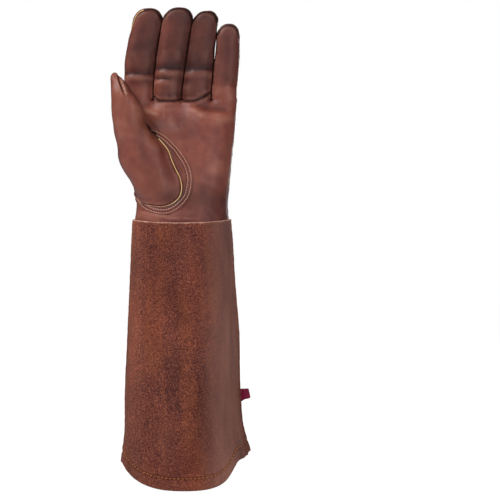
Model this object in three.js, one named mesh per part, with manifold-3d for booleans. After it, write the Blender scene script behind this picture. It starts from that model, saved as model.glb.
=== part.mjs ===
// Long leather pruning gauntlet for the left hand, in millimetres, +Z up, palm facing -Y, thumb on -X.
// The origin is the centre of the cuff's mouth, level with the lowest point of its hem.
import * as THREE from "three";
import { mergeVertices } from "three/addons/utils/BufferGeometryUtils.js";
import Module from "manifold-3d";

const wasm = await Module();
wasm.setup();

// Leather, and the clearance that sewn pieces keep
const LEATHER = 1.4;
const SUEDE = 1.8;
const PATCH_LEATHER = 1.1;
const SEAM_GAP = 0.3;

// Cuff
const CUFF_LENGTH = 263;
const CUFF_MOUTH_WIDTH = 131;
const CUFF_MOUTH_DEPTH = 86;
const HEM_HEIGHT = 12;
const HEM_TURN_UP = 0.7;
const HEM_RISE_THUMB_SIDE = 20;
const HEM_RISE_LITTLE_SIDE = 31;
const HEM_LIFT_BACK = 4;
const HEM_SWEEP_THUMB_SIDE = 3.4;
const HEM_SWEEP_LITTLE_SIDE = 3.6;
const WRIST_SEAM_DIP = 4;
const WRIST_TUCK = 11;
const SEAM_RIDGE = 1.4;
const SEAM_RIDGE_WIDTH = 2.4;
const SEAM_RIDGE_FADE = 26;

// Hand
const WRIST_WIDTH = 90.5;
const WRIST_DEPTH = 54;
const WRIST_OFFSET = -2.75;
const PALM_LENGTH = 120;
const KNUCKLE_DEPTH = 29;
const WEB_ROUND = 18;
const GATHERS = 6;
const GATHER_DEPTH = 1.7;
const GATHER_RUN_UP = 27;
const GATHER_RUN_DOWN = 17;
const ELASTIC_HEIGHT = 39;
const FOLD_HEIGHT = 1.3;

// Fingers, counted from the web between them
const MIDDLE_WIDTH = 27.5;
const MIDDLE_LENGTH = 86.5;
const MIDDLE_OFFSET = -17.2;
const FINGER_DEPTH = 25;
const FINGER_GAP = 0.6;
const FINGER_LEAN = 13.6;
const FINGER_CURL = 22;
const FINGER_TIP_ROUND = 15;
const FINGER_ROOT = 30;
const FINGER_SEAM_DROP = 3;
const FINGER_TAPER = 0.86;
const FINGER_ROOT_SHRINK = 0.8;
const FOURCHETTE_WIDTH = 10;
const FOURCHETTE_SEAT = 9;

// Piping along the thumb side of the back, and how far behind the middle of the hand it runs
const WELT_WIDTH = 1.8;
const WELT_BEHIND = 11.5;

// Thumb, counted from the wrist seam
const THUMB_START = 9;
const THUMB_LENGTH = 133;
const THUMB_WIDTH = 54;
const THUMB_DEPTH = 44;
const THUMB_REACH = 63.3;
const THUMB_FORWARD = 30;

// Crescent patch round the base of the thumb
const PATCH_WIDTH = 70;
const PATCH_HEIGHT = 88;
const PATCH_OUT = 23;
const PATCH_UP = 46;

// Ribbon tab in the side seam
const TAB_HEIGHT = 13;
const TAB_REACH = 9;
const TAB_FOLD = 2.2;
const TAB_RIBBON = 0.7;
const TAB_UP = 87;

// root, middle and high are shares of the middle finger's width: at the web, half-way up and near the tip.
// reach is a share of the middle finger's length, depth of the fingers' depth
const FINGERS = [
  { name: "index", root: 1.0, middle: 1.13, high: 1.05, reach: 0.993, depth: 1.02 },
  { name: "middle", root: 1.0, middle: 1.07, high: 1.06, reach: 1.0, depth: 1.04 },
  { name: "ring", root: 1.05, middle: 0.98, high: 0.9, reach: 0.967, depth: 1.0 },
  { name: "little", root: 0.91, middle: 0.89, high: 0.8, reach: 0.825, depth: 0.92 },
];

// Creases across a finger's front: along is a share of its own length, depth and reach of its depth
const FINGER_CREASES = [
  { along: 0.27, depth: 0.085, reach: 0.16 },
  { along: 0.56, depth: 0.045, reach: 0.14 },
];

// up is a share of the palm's length from the wrist seam. spread and thin run from 0, the wrist's size, to 1,
// the knuckles' size. front is the share of the depth that lies in front of the middle
const PALM_SECTIONS = [
  { up: 0.0, spread: 0.14, thin: -0.08, front: 0.51 },
  { up: 0.06, spread: 0.04, thin: -0.03, front: 0.515 },
  { up: 0.12, spread: 0.0, thin: 0.0, front: 0.52 },
  { up: 0.31, spread: 0.21, thin: 0.08, front: 0.52 },
  { up: 0.49, spread: 0.46, thin: 0.23, front: 0.52 },
  { up: 0.74, spread: 0.8, thin: 0.5, front: 0.51 },
  { up: 0.89, spread: 0.95, thin: 0.76, front: 0.49 },
  { up: 1.0, spread: 1.0, thin: 1.0, front: 0.47 },
];

// Folds that stand proud of the palm, between two places: across is a share of half the wrist's width from the
// middle, up a share of the palm's length, width of the palm's length, height of the fold's height
const PALM_FOLDS = [
  { across: [0.02, 0.95], up: [0.93, 0.885], width: 0.045, height: 0.9 },
  { across: [-0.85, -0.45], up: [0.83, 0.88], width: 0.06, height: 1.0 },
  { across: [0.15, 0.85], up: [0.12, 0.2], width: 0.05, height: 0.5 },
];

// up is a share of the thumb's length, out and ahead of its reach and its step forward, wide and deep of its
// greatest width and depth
const THUMB_SECTIONS = [
  { up: 0.0, out: 0.27, ahead: 0.38, wide: 0.1, deep: 0.3 },
  { up: 0.03, out: 0.285, ahead: 0.38, wide: 0.56, deep: 0.75 },
  { up: 0.068, out: 0.3, ahead: 0.385, wide: 0.81, deep: 0.87 },
  { up: 0.12, out: 0.315, ahead: 0.4, wide: 0.94, deep: 0.96 },
  { up: 0.21, out: 0.38, ahead: 0.4, wide: 0.99, deep: 1.0 },
  { up: 0.3, out: 0.49, ahead: 0.42, wide: 1.0, deep: 1.0 },
  { up: 0.376, out: 0.565, ahead: 0.47, wide: 0.97, deep: 0.955 },
  { up: 0.451, out: 0.613, ahead: 0.57, wide: 0.87, deep: 0.885 },
  { up: 0.549, out: 0.73, ahead: 0.7, wide: 0.69, deep: 0.795 },
  { up: 0.639, out: 0.795, ahead: 0.83, wide: 0.58, deep: 0.75 },
  { up: 0.729, out: 0.82, ahead: 0.93, wide: 0.555, deep: 0.73 },
  { up: 0.789, out: 0.85, ahead: 0.97, wide: 0.48, deep: 0.705 },
  { up: 0.85, out: 0.92, ahead: 1.0, wide: 0.335, deep: 0.64 },
  { up: 0.917, out: 0.965, ahead: 1.0, wide: 0.24, deep: 0.5 },
  { up: 0.966, out: 0.997, ahead: 1.0, wide: 0.178, deep: 0.32 },
  { up: 1.0, out: 1.005, ahead: 1.0, wide: 0.06, deep: 0.1 },
];

// up is a share of the cuff's length. flare, swell and point run from 0, the wrist seam's width, depth and
// outline, to 1, the mouth's. shift is a share of half the mouth's width
const CUFF_SECTIONS = [
  { up: 0.0, flare: 1.0, swell: 1.0, point: 1.0, shift: 0.069 },
  { up: 0.057, flare: 0.955, swell: 0.98, point: 0.98, shift: 0.069 },
  { up: 0.114, flare: 0.85, swell: 0.95, point: 0.95, shift: 0.066 },
  { up: 0.171, flare: 0.68, swell: 0.9, point: 0.92, shift: 0.05 },
  { up: 0.228, flare: 0.55, swell: 0.84, point: 0.88, shift: 0.027 },
  { up: 0.38, flare: 0.45, swell: 0.68, point: 0.78, shift: 0.01 },
  { up: 0.57, flare: 0.34, swell: 0.47, point: 0.65, shift: 0.018 },
  { up: 0.76, flare: 0.17, swell: 0.25, point: 0.45, shift: 0.012 },
  { up: 0.894, flare: 0.06, swell: 0.1, point: 0.15, shift: 0.012 },
  { up: 1.0, flare: 0.0, swell: 0.0, point: 0.0, shift: 0.0 },
];

// Folds along the cuff: turn and width are shares of a whole turn that starts at the little finger's side and
// goes by the back, depth of half the mouth's depth, bottom and top of the cuff's length
const CUFF_FOLDS = [
  { turn: 0.95, width: 0.018, depth: -0.22, bottom: -0.1, top: 0.22 },
  { turn: 0.875, width: 0.045, depth: 0.05, bottom: -0.1, top: 0.9 },
  { turn: 0.76, width: 0.05, depth: -0.04, bottom: 0.15, top: 0.95 },
  { turn: 0.62, width: 0.05, depth: 0.035, bottom: -0.1, top: 0.7 },
  { turn: 0.2, width: 0.06, depth: -0.045, bottom: -0.1, top: 0.6 },
  { turn: 0.36, width: 0.05, depth: 0.04, bottom: -0.1, top: 0.85 },
];

// Powers of the rounded outlines, and how finely the surfaces are divided
const HAND_POWER = 2.6;
const FINGER_POWER = 2.5;
const TIP_POWER = 2.5;
const THUMB_POWER = 2.3;
const MOUTH_POWER = 1.8;
const FRONT_SIDES = 14;
const BACK_SIDES = 4 * GATHERS;
const FINGER_SIDES = 14;
const THUMB_SIDES = 18;
const LINING_SIDES = 10;
const PATCH_SIDES = 24;
const WELT_STEPS = 22;
const CUFF_COLUMNS = 16;
const CUFF_ROWS = 12;
const FAR = 200;
const BEYOND = 20;

const WEB_Z = CUFF_LENGTH + PALM_LENGTH;
const ELASTIC_Z = CUFF_LENGTH + ELASTIC_HEIGHT;
const HAND_LOW = CUFF_LENGTH - WRIST_SEAM_DIP - WRIST_TUCK;
const THUMB_Z = CUFF_LENGTH + THUMB_START;
const SEAM_HALF = SEAM_GAP / 2;

const clamp = (x, low, high) => Math.min(Math.max(x, low), high);
const mix = (a, b, t) => a + (b - a) * t;
const bell = (x) => Math.exp(-x * x);
const power = (x, p) => Math.sign(x) * Math.abs(x) ** (2 / p);

// A smooth curve through one column of a table, by the column that holds its places
function column(rows, place, name) {
  const last = rows.length - 1;
  const slope = (k) => {
    const a = rows[Math.max(k - 1, 0)];
    const b = rows[Math.min(k + 1, last)];
    return (b[name] - a[name]) / (b[place] - a[place]);
  };
  return (at) => {
    if (at <= rows[0][place]) return rows[0][name];
    if (at >= rows[last][place]) return rows[last][name];
    const i = rows.findIndex((row) => row[place] > at) - 1;
    const step = rows[i + 1][place] - rows[i][place];
    const t = (at - rows[i][place]) / step;
    const ends = mix(rows[i][name], rows[i + 1][name], 3 * t ** 2 - 2 * t ** 3);
    return ends + step * (slope(i) * t * (1 - t) ** 2 - slope(i + 1) * t ** 2 * (1 - t));
  };
}

const columns = (rows, place, names) =>
  Object.fromEntries(names.map((name) => [name, column(rows, place, name)]));

function solidOf(geometry) {
  const bare = geometry.clone();
  bare.deleteAttribute("normal");
  bare.deleteAttribute("uv");
  const merged = mergeVertices(bare, 1e-4);
  return new wasm.Manifold(
    new wasm.Mesh({
      numProp: 3,
      vertProperties: merged.attributes.position.array,
      triVerts: new Uint32Array(merged.index.array),
    }),
  );
}

function solidFrom(points, faces) {
  const geometry = new THREE.BufferGeometry();
  geometry.setAttribute("position", new THREE.Float32BufferAttribute(points.flat(), 3));
  geometry.setIndex(faces.flat());
  return solidOf(geometry);
}

function geometryFrom(solid) {
  const mesh = solid.getMesh();
  const geometry = new THREE.BufferGeometry();
  geometry.setAttribute("position", new THREE.Float32BufferAttribute(mesh.vertProperties, 3));
  geometry.setIndex(new THREE.BufferAttribute(mesh.triVerts, 1));
  geometry.computeVertexNormals();
  return geometry;
}

// A closed solid through rings of points, with a point to close each end
function loft(rings, first, last) {
  const sides = rings[0].length;
  const points = [...rings.flat(), first, last];
  const faces = [];
  for (let i = 0; i + 1 < rings.length; i++) {
    for (let j = 0; j < sides; j++) {
      const [a, b] = [i * sides + j, i * sides + ((j + 1) % sides)];
      faces.push([a, b, b + sides], [a, b + sides, a + sides]);
    }
  }
  const [top, low, high] = [(rings.length - 1) * sides, points.length - 2, points.length - 1];
  for (let j = 0; j < sides; j++) {
    const next = (j + 1) % sides;
    faces.push([low, next, j], [high, top + j, top + next]);
  }
  return solidFrom(points, faces);
}

// A closed wall between two surfaces over one grid, the first outside. A round wall closes on itself
function wall(outer, inner, across, up, round = false) {
  const row = round ? across : across + 1;
  const points = [];
  for (const surface of [outer, inner]) {
    for (let j = 0; j <= up; j++) {
      for (let i = 0; i < row; i++) points.push(surface(i / across, j / up));
    }
  }
  const at = (side, i, j) => side * row * (up + 1) + j * row + (i % row);
  const faces = [];
  const quad = (a, b, c, d) => faces.push([a, b, c], [a, c, d]);
  for (let i = 0; i < across; i++) {
    for (let j = 0; j < up; j++) {
      quad(at(0, i, j), at(0, i + 1, j), at(0, i + 1, j + 1), at(0, i, j + 1));
      quad(at(1, i, j), at(1, i, j + 1), at(1, i + 1, j + 1), at(1, i + 1, j));
    }
    quad(at(0, i, 0), at(1, i, 0), at(1, i + 1, 0), at(0, i + 1, 0));
    quad(at(0, i, up), at(0, i + 1, up), at(1, i + 1, up), at(1, i, up));
  }
  for (let j = 0; j < up && !round; j++) {
    quad(at(0, 0, j), at(0, 0, j + 1), at(1, 0, j + 1), at(1, 0, j));
    quad(at(0, across, j), at(1, across, j), at(1, across, j + 1), at(0, across, j + 1));
  }
  return solidFrom(points, faces);
}

// An outline in X and Z, extruded right through the hand
function prism(outline) {
  const shape = new THREE.Shape(outline.map(([x, z]) => new THREE.Vector2(x, z)));
  const geometry = new THREE.ExtrudeGeometry(shape, { depth: 2 * FAR, bevelEnabled: false });
  return solidOf(geometry.rotateX(Math.PI / 2).translate(0, FAR, 0));
}

// Fingers: where each one stands at a height, and how wide it is there
const rise = (z) => clamp((z - WEB_Z) / MIDDLE_LENGTH, -0.5, 1.1);
const WIDTH_PLACES = { root: 0.0, middle: 0.43, high: 0.8 };
const widthShares = FINGERS.map((finger) =>
  column(
    Object.entries(WIDTH_PLACES).map(([name, at]) => ({ at, share: finger[name] })),
    "at",
    "share",
  ),
);
const fingerWidth = (i, z) => MIDDLE_WIDTH * widthShares[i](rise(z));
const fingerDepth = (i, z) => FINGER_DEPTH * FINGERS[i].depth * mix(1, FINGER_TAPER, clamp(rise(z), 0, 1));
const tipOf = (i) => WEB_Z + MIDDLE_LENGTH * FINGERS[i].reach;
const middleFinger = FINGERS.findIndex((finger) => finger.name === "middle");
const littleFinger = FINGERS.length - 1;

function fingerX(index, z) {
  const way = Math.sign(index - middleFinger);
  let x = MIDDLE_OFFSET + FINGER_LEAN * Math.max(rise(z), 0) ** 1.4;
  for (let i = middleFinger; i !== index; i += way) {
    x += way * ((fingerWidth(i, z) + fingerWidth(i + way, z)) / 2 + FINGER_GAP);
  }
  return x;
}

// The middle of the hand's depth, which the fingers carry towards the palm
const middleY = (z) => -FINGER_CURL * clamp((z - WEB_Z + 12) / (MIDDLE_LENGTH + 12), 0, 1.2) ** 1.6;

function creaseAt(index, z) {
  const length = tipOf(index) - WEB_Z;
  const pulls = FINGER_CREASES.map(({ along, depth, reach }) => {
    const away = z - WEB_Z - along * length;
    return depth * bell(away / (reach * FINGER_DEPTH));
  });
  return FINGER_DEPTH * pulls.reduce((a, b) => a + b);
}

function fingerRing(index, z, grow, sides) {
  const tip = tipOf(index) + grow;
  const round = FINGER_TIP_ROUND + grow;
  const t = clamp((z - tip + round) / round, 0, 0.995);
  const close = (1 - t ** TIP_POWER) ** (1 / TIP_POWER);
  const sunk = mix(FINGER_ROOT_SHRINK, 1, clamp((z - WEB_Z + FINGER_ROOT) / (FINGER_ROOT - 8), 0, 1));
  const halfWidth = (fingerWidth(index, z) / 2 + grow) * close * sunk;
  const halfDepth = (fingerDepth(index, z) / 2 + grow) * close * sunk;
  return Array.from({ length: sides }, (_, i) => {
    const angle = (2 * Math.PI * i) / sides;
    const front = Math.max(0, -Math.sin(angle)) ** 0.6;
    return [
      fingerX(index, z) + halfWidth * power(Math.cos(angle), FINGER_POWER),
      middleY(z) + halfDepth * power(Math.sin(angle), FINGER_POWER) + creaseAt(index, z) * front,
      z,
    ];
  });
}

function fingerSolid(index, grow, fine) {
  const tip = tipOf(index) + grow;
  const round = FINGER_TIP_ROUND + grow;
  const spots = fine ? [-1, 0, 1] : [0];
  const creases = FINGER_CREASES.flatMap(({ along, reach }) =>
    spots.map((spot) => WEB_Z + along * (tipOf(index) - WEB_Z) + spot * reach * FINGER_DEPTH),
  );
  const rounds = fine ? [0, 0.45, 0.72, 0.88, 0.97] : [0, 0.6, 0.92];
  const ends = rounds.map((t) => tip - round + t * round);
  const heights = [WEB_Z - FINGER_ROOT, WEB_Z - 8, ...creases, ...ends];
  const rings = heights.map((z) => fingerRing(index, z, grow, fine ? FINGER_SIDES : LINING_SIDES));
  const end = (z) => [fingerX(index, z), middleY(z), z];
  return loft(rings, end(heights[0]), end(tip));
}

// Palm and wrist
const KNUCKLE_LOW = fingerX(0, WEB_Z) - fingerWidth(0, WEB_Z) / 2;
const KNUCKLE_HIGH = fingerX(littleFinger, WEB_Z) + fingerWidth(littleFinger, WEB_Z) / 2;
const KNUCKLE_HALF = (KNUCKLE_HIGH - KNUCKLE_LOW) / 2;
const KNUCKLE_MIDDLE = (KNUCKLE_HIGH + KNUCKLE_LOW) / 2;
const palm = columns(PALM_SECTIONS, "up", ["spread", "thin", "front"]);

function palmSize(z) {
  const up = (z - CUFF_LENGTH) / PALM_LENGTH;
  const depth = mix(WRIST_DEPTH, KNUCKLE_DEPTH, palm.thin(up));
  return {
    x: mix(WRIST_OFFSET, KNUCKLE_MIDDLE, palm.spread(up)),
    half: mix(WRIST_WIDTH / 2, KNUCKLE_HALF, palm.spread(up)),
    front: depth * palm.front(up),
    back: depth * (1 - palm.front(up)),
  };
}

// How high the gathers stand that the elastic at the wrist draws in
const gatherReach = (z) => bell((z - ELASTIC_Z) / (z > ELASTIC_Z ? GATHER_RUN_UP : GATHER_RUN_DOWN));

function foldAt(x, z) {
  const up = (z - CUFF_LENGTH) / PALM_LENGTH;
  const across = (2 * (x - WRIST_OFFSET)) / WRIST_WIDTH;
  const heights = PALM_FOLDS.map((fold) => {
    const t = (across - fold.across[0]) / (fold.across[1] - fold.across[0]);
    const line = mix(fold.up[0], fold.up[1], clamp(t, 0, 1));
    return fold.height * bell((up - line) / fold.width) * bell(2.2 * (t - 0.5)) ** 2;
  });
  return FOLD_HEIGHT * heights.reduce((a, b) => a + b);
}

function palmRing(z, grow, fine) {
  const size = palmSize(z);
  const t = clamp((z - WEB_Z - grow + WEB_ROUND) / WEB_ROUND, 0, 0.97);
  const close = Math.sqrt(1 - t * t);
  const [back, front] = fine ? [BACK_SIDES, FRONT_SIDES] : [LINING_SIDES, LINING_SIDES];
  const angles = [
    ...Array.from({ length: back }, (_, i) => (Math.PI * i) / back),
    ...Array.from({ length: front }, (_, i) => Math.PI * (1 + i / front)),
  ];
  return angles.map((angle) => {
    const behind = Math.sin(angle) > 1e-9;
    const depth = ((behind ? size.back : size.front) + grow) * close;
    const x = size.x + (size.half + grow) * power(Math.cos(angle), HAND_POWER);
    const gather = 0.5 - 0.5 * Math.cos(2 * GATHERS * angle);
    const proud = behind
      ? GATHER_DEPTH * gatherReach(z) * gather * Math.sin(angle) ** 0.5
      : foldAt(x, z) * Math.sin(angle);
    return [x, middleY(z) + depth * power(Math.sin(angle), HAND_POWER) + (fine ? proud : 0), z];
  });
}

const PALM_ROWS = [0.07, 0.15, 0.23, 0.31, 0.39, 0.49, 0.62, 0.74];
const LINING_ROWS = [0.12, 0.31, 0.49, 0.74];

function palmSolid(grow, low, fine = true) {
  const top = WEB_Z + grow;
  const rows = (fine ? PALM_ROWS : LINING_ROWS).map((up) => CUFF_LENGTH + up * PALM_LENGTH);
  const rounds = (fine ? [0, 0.3, 0.6, 0.85, 0.96] : [0, 0.6, 0.95]).map((t) => top - WEB_ROUND * (1 - t));
  const heights = [low, CUFF_LENGTH, ...rows, ...rounds];
  const rings = heights.map((z) => palmRing(z, grow, fine));
  const end = (z) => [palmSize(z).x, middleY(z), z];
  return loft(rings, end(low), end(top));
}

const handSolid = (grow, low, fine = true) =>
  FINGERS.reduce((sum, _, i) => sum.add(fingerSolid(i, grow, fine)), palmSolid(grow, low, fine));

// Thumb
const thumb = columns(THUMB_SECTIONS, "up", ["out", "ahead", "wide", "deep"]);

function thumbSize(z) {
  const up = (z - THUMB_Z) / THUMB_LENGTH;
  return {
    x: WRIST_OFFSET - THUMB_REACH * thumb.out(up),
    y: -THUMB_FORWARD * thumb.ahead(up),
    wide: (THUMB_WIDTH / 2) * thumb.wide(up),
    deep: (THUMB_DEPTH / 2) * thumb.deep(up),
  };
}

function thumbSolid(grow, fine = true) {
  const sides = fine ? THUMB_SIDES : LINING_SIDES + 2;
  const last = THUMB_SECTIONS.length - 1;
  const places = THUMB_SECTIONS.map(({ up }) => up).filter((_, i) => fine || i % 3 !== 2 || i === last);
  const rings = places.map((up) => {
    const z = THUMB_Z + up * THUMB_LENGTH;
    const size = thumbSize(z);
    const beyond = up === 0 ? -grow : up === 1 ? grow : 0;
    return Array.from({ length: sides }, (_, j) => {
      const angle = (2 * Math.PI * j) / sides;
      return [
        size.x + Math.max(size.wide + grow, 0.4) * power(Math.cos(angle), THUMB_POWER),
        size.y + Math.max(size.deep + grow, 0.4) * power(Math.sin(angle), THUMB_POWER),
        z + beyond,
      ];
    });
  });
  const end = (z, beyond) => [thumbSize(z).x, thumbSize(z).y, z + beyond];
  return loft(rings, end(THUMB_Z, -grow - 0.5), end(THUMB_Z + THUMB_LENGTH, grow + 0.5));
}

// The front and the back of the hand meet along a line over the finger tips and down both sides. On the
// thumb's side it lies further back, where the piping runs
const weltShare = (z) => 1 - clamp((z - WEB_Z) / MIDDLE_LENGTH, 0, 1) ** 1.5;
const seamY = (x, z) => {
  const towardsThumb = clamp((KNUCKLE_MIDDLE - x) / KNUCKLE_HALF, 0, 1);
  return middleY(z) + WELT_BEHIND * towardsThumb ** 2 * weltShare(z);
};
const SIDE_X = [KNUCKLE_LOW - BEYOND, KNUCKLE_HIGH + BEYOND];
const SIDE_Z = [HAND_LOW - BEYOND, WEB_Z + MIDDLE_LENGTH + BEYOND];

// A block over the whole hand, between two surfaces that give Y
function slab(near, far, steps) {
  const surface = (depth) => (u, v) => {
    const [x, z] = [mix(...SIDE_X, u), mix(...SIDE_Z, v)];
    return [x, depth(x, z), z];
  };
  return wall(surface(near), surface(far), steps, 20);
}
const frontSide = slab(() => -FAR, (x, z) => seamY(x, z) - SEAM_HALF, 12);
const backSide = slab((x, z) => seamY(x, z) + SEAM_HALF, () => FAR, 12);

// The line half-way between a finger and the next one
const gapX = (i, z) =>
  (fingerX(i, z) + fingerWidth(i, z) / 2 + fingerX(i + 1, z) - fingerWidth(i + 1, z) / 2) / 2;
const HEIGHT_STEPS = [0, 0.33, 0.67, 1];

// The strip that lines the gap between two fingers
function fourchetteSpace(i, grow) {
  const low = WEB_Z - FOURCHETTE_SEAT - grow;
  const highs = [i, i + 1].map((k) => tipOf(k) - 0.6 * FINGER_TIP_ROUND + grow);
  const line = (x, high) => HEIGHT_STEPS.map((t) => mix(low, high, t)).map((z) => [x(z), z]);
  const outline = [
    ...line((z) => fingerX(i, z) - grow, highs[0]),
    ...highs.map((z) => [gapX(i, z), z]),
    ...line((z) => fingerX(i + 1, z) + grow, highs[1]).reverse(),
  ];
  const half = FOURCHETTE_WIDTH / 2 + grow;
  const band = slab((x, z) => middleY(z) - half, (x, z) => middleY(z) + half, 1);
  return prism(outline).intersect(band);
}

// The fronts of the two middle fingers are pieces of their own, sewn to the palm along their roots
function fingerFrontSpace(i, grow) {
  const low = WEB_Z - FINGER_SEAM_DROP - grow;
  const high = WEB_Z + MIDDLE_LENGTH + BEYOND;
  const line = (k, aside) =>
    HEIGHT_STEPS.map((t) => mix(low, high, t)).map((z) => [gapX(k, z) + aside, z]);
  return prism([...line(i - 1, -grow), ...line(i, grow).reverse()]);
}

const lining = handSolid(-LEATHER, HAND_LOW - 5, false);
const handShell = handSolid(0, HAND_LOW).subtract(lining).subtract(thumbSolid(SEAM_GAP));
const thumbShell = thumbSolid(0).subtract(thumbSolid(-LEATHER, false)).subtract(lining);

const GAPS = [0, 1, 2];
const fourchettes = GAPS.map((i) => handShell.intersect(fourchetteSpace(i, 0)));
const withoutFourchettes = GAPS.reduce((rest, i) => rest.subtract(fourchetteSpace(i, SEAM_GAP)), handShell);
const handFront = withoutFourchettes.intersect(frontSide);
const handBack = withoutFourchettes.intersect(backSide);
const FRONT_FINGERS = [1, 2];
const palmFront = FRONT_FINGERS.reduce(
  (rest, i) => rest.subtract(fingerFrontSpace(i, SEAM_HALF)),
  handFront,
);

// The crescent patch lies on the palm and ends at the thumb's seam
function patchSolid() {
  const [x, z] = [WRIST_OFFSET - PATCH_OUT, CUFF_LENGTH + PATCH_UP];
  const outline = Array.from({ length: PATCH_SIDES }, (_, i) => {
    const angle = (2 * Math.PI * i) / PATCH_SIDES;
    return [x + (PATCH_WIDTH / 2) * Math.cos(angle), z + (PATCH_HEIGHT / 2) * Math.sin(angle)];
  });
  const layer = palmSolid(SEAM_GAP + PATCH_LEATHER, HAND_LOW).subtract(palmSolid(SEAM_GAP, HAND_LOW - 5));
  const before = slab(() => -FAR, (x, z) => middleY(z) - 2, 1);
  return layer.intersect(prism(outline)).intersect(before).subtract(thumbSolid(SEAM_GAP));
}

// The piping lies in the seam on the thumb's side of the back, from the index finger down to the cuff
function edgeX(size, y, z) {
  const share = clamp(Math.abs(y - middleY(z)) / size.back, 0, 1);
  return size.x - size.half * (1 - share ** HAND_POWER) ** (1 / HAND_POWER);
}

function weltSolid() {
  const radius = WELT_WIDTH / 2;
  const [low, high] = [CUFF_LENGTH + 2 * SEAM_GAP, tipOf(0) - FINGER_TIP_ROUND];
  const points = Array.from({ length: WELT_STEPS + 1 }, (_, i) => {
    const z = mix(low, high, i / WELT_STEPS);
    const along = seamY(KNUCKLE_LOW, z);
    const finger = { x: fingerX(0, z), half: fingerWidth(0, z) / 2, back: fingerDepth(0, z) / 2 };
    const onPalm = edgeX(palmSize(z), along, z);
    const onFinger = edgeX(finger, along, z);
    const share = clamp((z - WEB_Z + WEB_ROUND) / (WEB_ROUND - 3), 0, 1);
    return new THREE.Vector3(mix(onPalm, onFinger, share) - 0.5 * radius, along, z);
  });
  const circle = new THREE.Shape(
    Array.from({ length: 6 }, (_, i) => {
      const angle = (Math.PI * i) / 3;
      return new THREE.Vector2(radius * Math.cos(angle), radius * Math.sin(angle));
    }),
  );
  const extrudePath = new THREE.CatmullRomCurve3(points);
  const options = { steps: WELT_STEPS, extrudePath, bevelEnabled: false };
  return solidOf(new THREE.ExtrudeGeometry(circle, options));
}

// Cuff
const wrist = palmSize(CUFF_LENGTH);
const CUFF_CLEAR = SEAM_GAP + SUEDE;
const cuff = columns(CUFF_SECTIONS, "up", ["flare", "swell", "point", "shift"]);

// Heights of the hem and of the wrist seam at an angle round the cuff
function hemZ(angle) {
  const [side, back] = [Math.cos(angle), Math.max(Math.sin(angle), 0)];
  const riseAt = side > 0 ? HEM_RISE_LITTLE_SIDE : HEM_RISE_THUMB_SIDE;
  const sweep = side > 0 ? HEM_SWEEP_LITTLE_SIDE : HEM_SWEEP_THUMB_SIDE;
  return riseAt * Math.abs(side) ** sweep + HEM_LIFT_BACK * back;
}
const cuffTopZ = (angle) => CUFF_LENGTH - WRIST_SEAM_DIP * Math.max(-Math.sin(angle), 0) ** 1.5;

function cuffFold(angle, up) {
  const depths = CUFF_FOLDS.map((fold) => {
    const away = angle / (2 * Math.PI) - fold.turn;
    const along = clamp((up - fold.bottom) / (fold.top - fold.bottom), 0, 1);
    return fold.depth * bell(away / fold.width) * Math.sin(Math.PI * along) ** 0.6;
  });
  return (CUFF_MOUTH_DEPTH / 2) * depths.reduce((a, b) => a + b);
}

function cuffPoint(angle, z, grow) {
  const up = z / CUFF_LENGTH;
  const behind = Math.sin(angle) > 0;
  const swell = cuff.swell(up);
  const half = mix(wrist.half + CUFF_CLEAR, CUFF_MOUTH_WIDTH / 2, cuff.flare(up));
  const depth = mix((behind ? wrist.back : wrist.front) + CUFF_CLEAR, CUFF_MOUTH_DEPTH / 2, swell);
  const p = mix(HAND_POWER, MOUTH_POWER, cuff.point(up));
  const y = (depth + grow) * power(Math.sin(angle), p);
  const faded = clamp((CUFF_LENGTH - z) / SEAM_RIDGE_FADE, 0, 1);
  const ridge = grow < 0 ? 0 : SEAM_RIDGE * bell(y / SEAM_RIDGE_WIDTH) * faded;
  const x = (half + grow) * power(Math.cos(angle), p) + Math.sign(Math.cos(angle)) * ridge;
  const fold = cuffFold(angle, up) * Math.abs(Math.sin(angle)) ** 0.4;
  return [wrist.x + cuff.shift(up) * (CUFF_MOUTH_WIDTH / 2) + x, y + fold * Math.sign(y), z];
}

// Columns stand closer together towards the side seams
const sideways = (turn) => Math.PI * (Math.floor(turn) + (1 - Math.cos(Math.PI * (turn % 1))) / 2);

function cuffPanel(firstTurn) {
  const aside = (firstTurn === 0 ? 1 : -1) * SEAM_HALF;
  const surface = (grow) => (u, v) => {
    const angle = u === 1 ? Math.PI * (firstTurn + 1) : sideways(firstTurn + u);
    const z = mix(hemZ(angle) + HEM_HEIGHT + SEAM_GAP, cuffTopZ(angle), v);
    const [x, y] = cuffPoint(angle, z, grow);
    return [x, (u === 0 || u === 1 ? 0 : y) + aside, z];
  };
  return wall(surface(0), surface(-SUEDE), CUFF_COLUMNS, CUFF_ROWS);
}

function hemSolid() {
  const surface = (grow) => (u, v) => {
    const angle = sideways(2 * u);
    const z = hemZ(angle) + v * HEM_HEIGHT;
    return cuffPoint(angle, z, grow);
  };
  return wall(surface(HEM_TURN_UP), surface(-SUEDE - HEM_TURN_UP), 2 * CUFF_COLUMNS, 2, true);
}

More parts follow.
